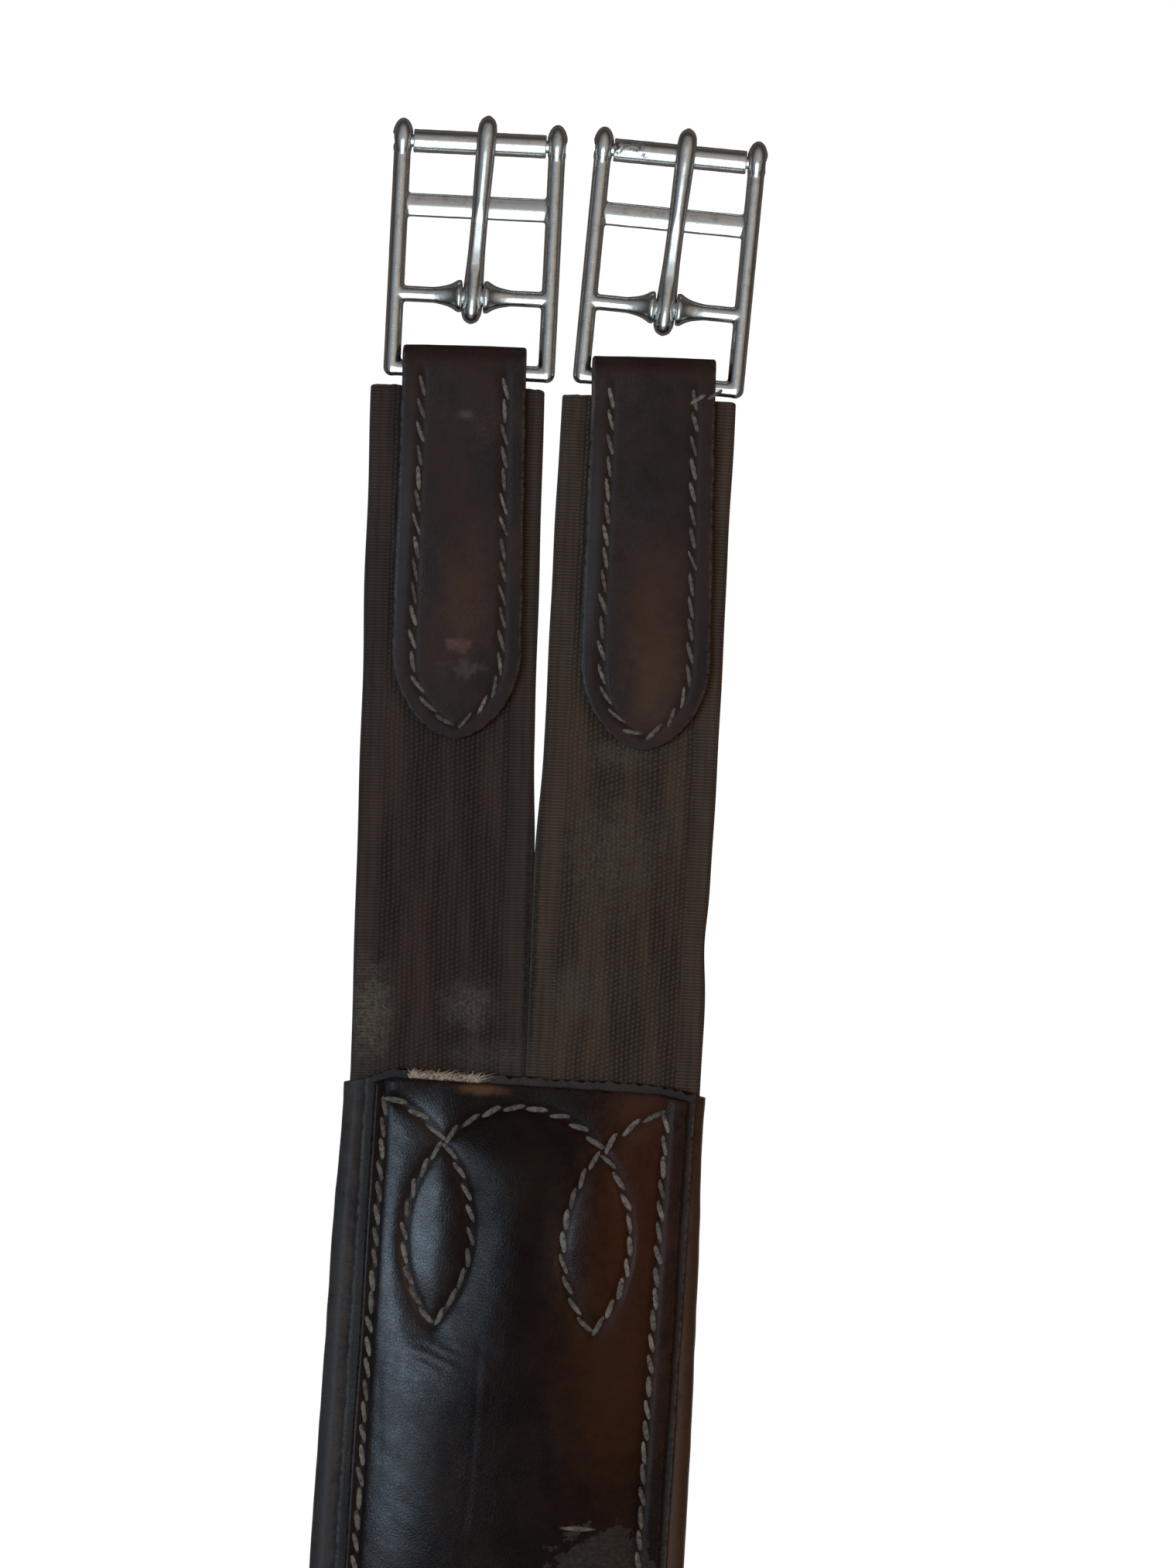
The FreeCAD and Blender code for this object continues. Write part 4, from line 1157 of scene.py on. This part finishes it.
def leather(name, look):
    # a dark finish over brown, rubbed through at places of wear and at edges, with painted shade in the seam
    # grooves; on some pieces the listed places and the edge tint are painted sheen, reflection and highlight
    material, tree, shader, here = newMaterial(name)
    grain = placed(tree, grainGroup, {"Vector": here, "Cell": look["cell"]})
    mottle = between(tree, grain["Mottle"], 0.3, 0.72)
    base = mixed(tree, mottle, look["deep"], look["brown"])
    rough = timesPlus(tree, mottle, look["roughSpread"], look["rough"])
    rubbed = None
    # each listed place: centre, size, tint, amount, ragged, soft, dull; most are wear, dust and scuffs, some are
    # painted sheen, reflection and highlight
    for centre, size, tint, amount, ragged, soft, dull in look["wearAndSheen"]:
        mask = times(tree, raggedEllipseMask(tree, here, centre, size, ragged, soft), amount)
        base = mixed(tree, mask, base, tint)
        rough = timesPlus(tree, mask, dull, rough)
        if dull > 0.2:
            rubbed = strongest(tree, rubbed, mask)
    dust = placed(tree, dustGroup, {"Vector": here, "Amount": look["dust"]})["Mask"]
    base = mixed(tree, dust, base, colour(0.11, 0.095, 0.08))
    broken = noiseOf(tree, stretched(tree, here, (1, 0.4, 1), (0, 0, 0.4)), 1.1, 6.0, 0.75)
    rough = timesPlus(tree, calc(tree, "SUBTRACT", broken, 0.5), look["roughGrain"], rough)
    if rubbed is not None:
        fluff = between(tree, noiseOf(tree, stretched(tree, here, (0.5, 1, 1)), 1.6, 7.0, 0.85), 0.32, 0.68)
        shade = times(tree, rubbed, calc(tree, "SUBTRACT", 1.0, fluff))
        base = mixed(tree, times(tree, shade, 0.85), base, look["deep"])
    # painted shade: the seam grooves are darkened towards a near-black tint
    if look["marks"]:
        groove = attributeOf(tree, "groove")
        base = mixed(tree, times(tree, groove, 0.45), base, look["grooveShadeTint"])
        rough = timesPlus(tree, groove, 0.25, rough)
    # the edge tint: lighter edges on the panel and lining, a painted highlight on the backing and chapes
    rim = attributeOf(tree, "rim")
    broken = between(tree, noiseOf(tree, here, 0.8, 4.0, 0.7), 0.36, 0.6)
    base = mixed(tree, times(tree, times(tree, rim, broken), look["rim"]), base, look["rimTint"])
    height = grain["Height"]
    if rubbed is not None:
        nap = times(tree, noiseOf(tree, here, 3.2, 6.0, 0.8), rubbed)
        height = timesPlus(tree, nap, 1.6, height)
    coarse = bumped(tree, noiseOf(tree, here, 0.32, 4.0, 0.6), 0.10, look["lumps"])
    level = None
    for centre, size, amount in look["polish"]:
        mask = times(tree, raggedEllipseMask(tree, here, centre, size, 0.25, 1.0), amount)
        level = strongest(tree, level, mask)
    if level is not None:
        level = calc(tree, "ADD", level, look["specular"])
    wire(tree, shader, {"Base Color": base, "Roughness": calc(tree, "MINIMUM", rough, 0.95),
                        "Normal": bumped(tree, height, look["bump"], 1.0, coarse),
                        "Specular IOR Level": look["specular"] if level is None else level})
    return material


def fromMouth(x, y, z=10.0):
    return (x, mouth + y, z)


panelLook = {
    "cell": 1.5, "deep": colour(0.0060, 0.0030, 0.0028), "brown": colour(0.0105, 0.0048, 0.0032),
    "rough": 0.24,
    # the groove tint below is near-black painted shade for the seam grooves
    "roughSpread": 0.08, "dust": 0.06, "marks": True, "grooveShadeTint": colour(0.004, 0.003, 0.0028), "rim": 0.5,
    "rimTint": colour(0.035, 0.026, 0.021), "bump": 0.03, "lumps": 0.26, "roughGrain": 0.14, "specular": 0.07,
    "polish": [(fromMouth(-20, -38), (13, 44, 30), 0.25), (fromMouth(-23, -78), (12, 46, 30), 0.13),
               (fromMouth(-20, -10), (9, 9, 30), 0.3),
               (fromMouth(8, -32), (5, 20, 30), 0.12), (fromMouth(-12, -240), (16, 160, 30), 0.12)],
    "wearAndSheen": [
        # the next three give the right half a redder brown: partly the leather's own colour, partly a painted warm
        # reflection
        (fromMouth(23, -28), (17, 50, 30), colour(0.043, 0.0125, 0.0045), 0.9, 0.5, 1.0, 0.02),
        (fromMouth(24, -6), (10, 9, 30), colour(0.046, 0.017, 0.009), 0.8, 0.5, 0.7, 0.05),
        (fromMouth(21, -60), (19, 36, 30), colour(0.036, 0.0130, 0.0044), 0.85, 0.4, 1.0, 0.05),
        (fromMouth(-9, -2.4), (7, 1.8, 30), colour(0.10, 0.045, 0.022), 0.8, 0.6, 0.8, 0.1),
        (fromMouth(2, -20), (9, 12, 30), colour(0.016, 0.009, 0.005), 0.6, 0.4, 0.8, 0.0),
        (fromMouth(21.5, -97), (10.5, 9.0, 30), colour(0.050, 0.040, 0.031), 0.85, 1.1, 0.12, 0.42),
        (fromMouth(16.2, -88.6), (4.2, 0.55, 30), colour(0.17, 0.14, 0.11), 0.9, 0.35, 0.5, 0.15),
        (fromMouth(22.5, -130), (9.5, 33.0, 30), colour(0.040, 0.032, 0.025), 0.7, 1.0, 0.3, 0.35),
        ((-8, -120, 10), (17, 70, 30), colour(0.028, 0.015, 0.009), 0.6, 0.6, 0.9, 0.05),
        ((-20, -240, 10), (10, 40, 30), colour(0.03, 0.018, 0.012), 0.6, 0.7, 0.8, 0.15),
    ],
}
panelLeather = leather("panelLeather", panelLook)
backingLeather = leather("backingLeather", {
    **panelLook, "deep": colour(0.012, 0.010, 0.010), "brown": colour(0.026, 0.018, 0.014), "rough": 0.42,
    "dust": 0.35,
    # painted highlight: the pale edge tint draws a light line along the long edges
    "marks": False, "specular": 0.16, "rim": 0.9, "rimTint": colour(0.075, 0.066, 0.058), "bump": 0.05,
    "wearAndSheen": [
        (fromMouth(-16, 0.4, 7.5), (7.5, 2.4, 30), colour(0.26, 0.19, 0.12), 0.9, 0.5, 0.5, 0.4),
        (fromMouth(8, 0.5, 7.5), (26, 2.0, 30), colour(0.05, 0.035, 0.027), 0.7, 0.8, 0.6, 0.3),
    ], "polish": []})
liningLeather = leather("liningLeather", {
    **panelLook, "cell": 1.1, "deep": colour(0.014, 0.012, 0.012), "brown": colour(0.034, 0.025, 0.021),
    "rough": 0.46,
    "dust": 0.3, "rim": 0.7, "rimTint": colour(0.05, 0.038, 0.03), "bump": 0.05, "specular": 0.16,
    "polish": [], "wearAndSheen": [
        # the next one greys the left roll: partly wear, partly a painted sheen
        ((-35, 240, 3), (3.4, 130, 30), colour(0.055, 0.052, 0.05), 0.55, 0.9, 0.7, 0.1),
        ((36, 200, 3), (3.4, 260, 30), colour(0.075, 0.038, 0.022), 0.75, 0.9, 0.7, 0.1),
        ((0, 0, 0), (22, 190, 2.5), colour(0.055, 0.042, 0.034), 0.5, 0.8, 0.9, 0.1),
    ]})
chapeLook = {
    **panelLook, "cell": 1.5, "deep": colour(0.017, 0.0105, 0.0095), "brown": colour(0.032, 0.0175, 0.012),
    "rough": 0.36,
    # painted highlight: the pale grey edge tint lightens the chape's edges
    "roughSpread": 0.16, "dust": 0.16, "rim": 0.75, "rimTint": colour(0.075, 0.072, 0.068), "bump": 0.03,
    "lumps": 0.45,
    "specular": 0.10, "polish": [],
}


def tabPoint(name, x, y):
    place = places[name]
    spot = place["chape"] + place["tabAcross"] * x + place["tab"] * y
    return (spot[0], spot[1], 7.4)


def chapeLeatherFor(name, extra):
    wearAndSheen = [
        # painted sheen: a bluish-grey strip down the chape's left edge
        (tabPoint(name, -11.5, -36), (2.6, 40, 9), colour(0.040, 0.042, 0.045), 0.5, 0.3, 0.9, -0.05),
        (tabPoint(name, 1, -46), (8.5, 22, 9), colour(0.058, 0.025, 0.012), 0.7, 0.5, 1.0, 0.0),
        # painted highlight: a redder brown across the fold round the bar
        (tabPoint(name, 0, 3), (14, 4, 9), colour(0.035, 0.015, 0.012), 0.5, 0.3, 0.8, -0.04),
    ] + [(tabPoint(name, x, y), *rest) for x, y, *rest in extra]
    return leather(name + "ChapeLeather", {**chapeLook, "wearAndSheen": wearAndSheen})


chapeMaterials = [
    chapeLeatherFor("near_left", [
        (0.5, -9, (2.6, 1.6, 9), colour(0.10, 0.085, 0.085), 0.5, 0.7, 0.9, 0.1),
        (0.5, -55, (3.2, 1.6, 9), colour(0.15, 0.075, 0.058), 0.75, 1.4, 0.7, 0.3),
        (1.5, -60, (5.0, 2.2, 9), colour(0.07, 0.055, 0.05), 0.6, 1.5, 0.7, 0.2)]),
    chapeLeatherFor("near_right", [
        (-12.6, -6, (1.0, 8, 9), colour(0.16, 0.11, 0.07), 0.8, 0.6, 0.6, 0.4),
        (2, -60, (9.5, 17, 9), colour(0.066, 0.034, 0.018), 0.8, 0.4, 1.0, 0.05)]),
    chapeLeatherFor("off_left", [(-3, -20, (4, 3, 9), colour(0.09, 0.06, 0.05), 0.5, 0.8, 0.8, 0.2)]),
    chapeLeatherFor("off_right", [(3, -40, (3, 6, 9), colour(0.09, 0.055, 0.04), 0.5, 0.8, 0.8, 0.2)]),
]


def wovenMaterial(name, dark, light, dustAmount, lintAndShadePatches):
    material, tree, shader, here = newMaterial(name)
    uv = put(tree, "ShaderNodeUVMap", uv_map="place").outputs[0]
    weave = placed(tree, weaveGroup, {"Vector": uv})
    base = mixed(tree, weave["Shade"], dark, light)
    streak = between(tree, noiseOf(tree, stretched(tree, uv, (1, 0.12, 1)), 0.22, 3.0, 0.6), 0.35, 0.7)
    base = mixed(tree, times(tree, streak, 0.35), base, colour(*[c * 1.7 for c in light[:3]]))
    # the patches are lint and dust flecks, and on each elastic a near-black strip of painted shadow
    for centre, size, tint, amount in lintAndShadePatches:
        mask = raggedEllipseMask(tree, uv, centre, size, 0.7, 0.9)
        lintAndShadeFleck = times(tree, mask, between(tree, noiseOf(tree, uv, 1.3, 4.0, 0.75), 0.3, 0.65))
        base = mixed(tree, times(tree, lintAndShadeFleck, amount), base, tint)
    dust = placed(tree, dustGroup, {"Vector": here, "Amount": dustAmount})["Mask"]
    base = mixed(tree, dust, base, colour(0.13, 0.115, 0.095))
    wire(tree, shader, {"Base Color": base, "Roughness": timesPlus(tree, weave["Height"], -0.15, 0.85),
                        "Normal": bumped(tree, weave["Height"], 0.42), "Specular IOR Level": 0.15,
                        "Sheen Weight": 0.12, "Sheen Roughness": 0.5})
    return material


elasticLeft = wovenMaterial("elasticLeft", colour(0.0020, 0.0012, 0.0008), colour(0.056, 0.034, 0.024), 0.2, [
    ((6, 14, 0), (8, 7, 9), colour(0.12, 0.10, 0.08), 0.7),
    ((-14, 12, 0), (6, 14, 9), colour(0.15, 0.13, 0.10), 0.8),
    ((10, 4, 0), (14, 4, 9), colour(0.08, 0.068, 0.052), 0.55),
    # painted shadow: a near-black strip along the inner edge, where the two elastics meet
    ((17.4, 24, 0), (1.5, 44, 9), colour(0.003, 0.002, 0.002), 1.0)])
elasticRight = wovenMaterial("elasticRight", colour(0.0024, 0.0015, 0.0010), colour(0.080, 0.050, 0.030),
                             0.24, [
    ((-3, 46, 0), (15, 18, 9), colour(0.10, 0.082, 0.056), 0.6),
    ((-10, 18, 0), (8, 8, 9), colour(0.09, 0.078, 0.06), 0.5),
    ((-2, 66, 0), (10, 5, 9), colour(0.11, 0.095, 0.07), 0.5),
    # painted shadow: a near-black strip along the inner edge, where the two elastics meet
    ((-17.4, 24, 0), (1.5, 44, 9), colour(0.003, 0.002, 0.002), 1.0)])

threadMaterial, tree, shader, here = newMaterial("waxedThread")
uv = put(tree, "ShaderNodeUVMap", uv_map="place").outputs[0]
plies = put(tree, "ShaderNodeSeparateXYZ", {0: uv}).outputs
twist = calc(tree, "SINE",
             timesPlus(tree, plies[1], 2 * math.pi / 0.0014, times(tree, plies[0], 2 * math.pi / 0.0019)))
fibre = noiseOf(tree, here, 4.0, 3.0, 0.7)
tone = attributeOf(tree, "tone")
base = mixed(tree, timesPlus(tree, tone, 0.6, times(tree, fibre, 0.5)), colour(0.050, 0.041, 0.033),
             colour(0.23, 0.195, 0.155))
base = mixed(tree, between(tree, noiseOf(tree, here, 0.12, 3.0), 0.5, 0.66), base, colour(0.09, 0.074, 0.058))
base = mixed(tree, times(tree, between(tree, noiseOf(tree, here, 0.9, 4.0, 0.7), 0.45, 0.62), 0.7), base,
             colour(0.035, 0.029, 0.024))
# painted shade: each stitch turns near black at its ends, where it dives into the leather
base = mixed(tree, between(tree, attributeOf(tree, "ends"), 0.9, 1.0), base, colour(0.010, 0.008, 0.007))
wire(tree, shader, {"Base Color": base, "Roughness": 0.7, "Specular IOR Level": 0.3,
                    "Normal": bumped(tree, calc(tree, "ADD", twist, fibre), 0.09, 0.8)})

fibreMaterial, tree, shader, here = newMaterial("tornFibre")
base = mixed(tree, noiseOf(tree, here, 1.4, 4.0, 0.7), colour(0.16, 0.11, 0.075), colour(0.62, 0.50, 0.38))
wire(tree, shader, {"Base Color": base, "Roughness": 0.9,
                    "Normal": bumped(tree, noiseOf(tree, here, 4.0, 4.0, 0.8), 0.06)})

foamMaterial, tree, shader, here = newMaterial("openFoam")
bubbles = put(tree, "ShaderNodeTexVoronoi", {"Vector": here, "Scale": 1400.0}).outputs["Distance"]
base = mixed(tree, bubbles, colour(0.16, 0.14, 0.10), colour(0.42, 0.39, 0.32))
wire(tree, shader, {"Base Color": base, "Roughness": 0.95, "Normal": bumped(tree, bubbles, 0.3)})

webMaterial, tree, shader, here = newMaterial("coreWebbing")
web = placed(tree, weaveGroup, {"Vector": stretched(tree, here, (0.6, 0.6, 0.6))})
base = mixed(tree, web["Shade"], colour(0.10, 0.085, 0.06), colour(0.34, 0.30, 0.23))
wire(tree, shader, {"Base Color": base, "Roughness": 0.85, "Normal": bumped(tree, web["Height"], 0.25)})


def steel(name, look):
    material, tree, shader, here = newMaterial(name)
    wearAndSheen = placed(tree, steelGroup, {"Vector": here})
    base = mixed(tree, wearAndSheen["Tarnish"], look["bright"], look["dull"])
    rough = timesPlus(tree, wearAndSheen["Tarnish"], 0.10, look["rough"])
    rough = timesPlus(tree, wearAndSheen["Scratches"], 0.16, rough)
    crusted = None
    for centre, size, tint, amount in look["spots"]:
        crust = between(tree, noiseOf(tree, here, 1.4, 5.0, 0.75), 0.44, 0.56)
        mask = times(tree, raggedEllipseMask(tree, here, centre, size, 1.1, 0.5), crust)
        mask = times(tree, mask, amount)
        base = mixed(tree, mask, base, tint)
        rough = timesPlus(tree, mask, 0.4, rough)
        crusted = strongest(tree, crusted, mask)
    wire(tree, shader, {"Base Color": base, "Roughness": rough,
                        "Normal": bumped(tree, wearAndSheen["Height"], 0.02, 0.5),
                        "Metallic": 1.0 if crusted is None else calc(tree, "SUBTRACT", 1.0, crusted)})
    return material


frameSteel = steel("buckleSteel", {"bright": colour(0.78, 0.79, 0.79), "dull": colour(0.56, 0.54, 0.52),
                                   "rough": 0.21, "spots": []})
rightRoller = places["near_right"]["bar"] + places["near_right"]["tab"] * 45.9
rollerSteel = steel("rollerSteel", {
    "bright": colour(0.86, 0.86, 0.86), "dull": colour(0.68, 0.64, 0.60), "rough": 0.22, "spots": [
        ((rightRoller[0] - 10.5, rightRoller[1] + 0.6, 4.5), (3.0, 1.9, 3), colour(0.055, 0.026, 0.014), 1.0),
        ((rightRoller[0] - 6.0, rightRoller[1] + 1.0, 4.5), (2.8, 1.2, 3), colour(0.09, 0.05, 0.03), 0.9),
        ((rightRoller[0] - 4.0, rightRoller[1] - 0.6, 4.5), (1.2, 0.7, 3), colour(0.14, 0.08, 0.05), 0.7)]})


def dress(piece, material):
    piece.data.materials.clear()
    piece.data.materials.append(material)


for piece, material in ((frontPanel, panelLeather), (backing, backingLeather), (lining, liningLeather),
                        (foam, foamMaterial), (fibres, fibreMaterial), *zip(chapes, chapeMaterials)):
    dress(piece, material)
for piece in [sideThreads, sideThreadsBack] + scrollThreads + chapeThreads:
    dress(piece, threadMaterial)
for number, piece in enumerate(elastics):
    dress(piece, elasticLeft if number // 2 in (0, 3) else elasticRight)
for piece in castings + tongues:
    dress(piece, frameSteel)
for piece in rollers:
    dress(piece, rollerSteel)
for node, piece in nodes.items():
    if node.endswith("_roller_pin"):
        finish = frameSteel
    elif node == "core_webbing":
        finish = webMaterial
    elif node.endswith("tack_stitching"):
        finish = threadMaterial
    else:
        continue
    for slot in range(len(piece.data.materials)):
        piece.data.materials[slot] = finish
print("materials made")


# floor, light and camera

floorLevel = -0.25  # low enough for straps that hang down
floorMesh = bpy.data.meshes.new("floor")
floorMesh.from_pydata([(x, y, floorLevel) for x, y in ((-6, -6), (6, -6), (6, 6), (-6, 6))], [],
                      [(0, 1, 2, 3)])
floor = addObject("floor", floorMesh)
floorMaterial = bpy.data.materials.new("paleFloor")
tree = emptied(floorMaterial)
rays = tree.nodes.new("ShaderNodeLightPath").outputs
seen = put(tree, "ShaderNodeEmission", {"Color": colour(1, 1, 1), "Strength": 1.02}).outputs[0]
mirrored = put(tree, "ShaderNodeEmission", {"Color": colour(0.10, 0.085, 0.075), "Strength": 1.0}).outputs[0]
plain = put(tree, "ShaderNodeBsdfDiffuse", {"Color": colour(0.6, 0.58, 0.56)}).outputs[0]
other = put(tree, "ShaderNodeMixShader", {0: rays["Is Glossy Ray"], 1: plain, 2: mirrored}).outputs[0]
result = put(tree, "ShaderNodeMixShader", {0: rays["Is Camera Ray"], 1: other, 2: seen}).outputs[0]
# clear from below, so that the girth's back can be looked at
fromBelow = tree.nodes.new("ShaderNodeNewGeometry").outputs["Backfacing"]
clear = tree.nodes.new("ShaderNodeBsdfTransparent").outputs[0]
result = put(tree, "ShaderNodeMixShader", {0: fromBelow, 1: result, 2: clear}).outputs[0]
put(tree, "ShaderNodeOutputMaterial", {0: result})
floorMesh.materials.append(floorMaterial)

world = bpy.data.worlds.new("softRoom")
scene.world = world
tree = emptied(world)
direction = put(tree, "ShaderNodeTexCoord").outputs["Generated"]
parts = put(tree, "ShaderNodeSeparateXYZ", {0: direction}).outputs
height = between(tree, parts[2], 0.3, 1.0)
sideways = between(tree, parts[0], -0.75, 0.6)
ceiling = mixed(tree, sideways, colour(0.25, 0.28, 0.31), colour(0.46, 0.40, 0.35))
room = mixed(tree, height, colour(0.045, 0.043, 0.041), ceiling)
rays = tree.nodes.new("ShaderNodeLightPath").outputs
room = mixed(tree, rays["Is Camera Ray"], room, colour(1, 1, 1))
sky = put(tree, "ShaderNodeBackground", {"Color": room, "Strength": 1.0}).outputs[0]
put(tree, "ShaderNodeOutputWorld", {0: sky})

lamps = {
    "coolWindow": {"at": (-0.80, -0.05, 1.45), "size": (0.42, 0.9), "power": 17, "tint": (0.60, 0.80, 1.0),
                   "lights": "soft"},
    "whiteWindow": {"at": (0.0, -0.8, 1.35), "size": (1.0, 2.0), "power": 15, "tint": (0.76, 0.94, 1.0),
                    "lights": "metal"},
    "warmLamp": {"at": (1.1, 0.3, 1.1), "size": (0.7, 0.7), "power": 5, "tint": (1.0, 0.52, 0.28),
                 "lights": "soft"},
    "underLamp": {"at": (0.2, -0.6, -1.6), "size": (2.4, 2.4), "power": 22, "tint": (1.0, 0.95, 0.9),
                  "lights": "soft"},
}
receivers = {"soft": bpy.data.collections.new("softPieces"), "metal": bpy.data.collections.new("metalPieces")}
metals = set(castPieces) | {piece for node, piece in nodes.items() if "buckle" in node or "roller" in node
                            or "tongue" in node}
for piece in [thing for thing in scene.objects if thing.type == "MESH" and thing != floor]:
    receivers["metal" if piece in metals else "soft"].objects.link(piece)
aim = Vector((0, (mouth + 20) * mm, 0))
for name, lamp in lamps.items():
    light = bpy.data.lights.new(name, "AREA")
    light.shape = "RECTANGLE"
    light.size, light.size_y = lamp["size"]
    light.energy = lamp["power"]
    light.color = lamp["tint"]
    holder = addObject(name, light)
    holder.location = aim + Vector(lamp["at"])
    holder.rotation_euler = (aim - holder.location).to_track_quat("-Z", "Y").to_euler()
    holder.visible_camera = False
    holder.light_linking.receiver_collection = receivers[lamp["lights"]]
    if name == "underLamp":  # shines on the back through the floor
        holder.light_linking.blocker_collection = receivers["soft"]

cameraView = {"x": 8.79, "beyondMouth": 59.9, "turn": 3.65, "height": 1200.0, "level": 7.5, "tall": 314.3,
              "sensor": 36}
camera = bpy.data.cameras.new("camera")
camera.sensor_fit = "VERTICAL"
camera.sensor_height = cameraView["sensor"]
camera.lens = cameraView["sensor"] * cameraView["height"] / cameraView["tall"]
camera.clip_start, camera.clip_end = 0.01, 20
viewer = addObject("camera", camera)
viewer.location = Vector((cameraView["x"], mouth + cameraView["beyondMouth"],
                          cameraView["height"] + cameraView["level"])) * mm
viewer.rotation_euler = (0, 0, math.radians(cameraView["turn"]))
scene.camera = viewer
scene.view_settings.view_transform = "Standard"
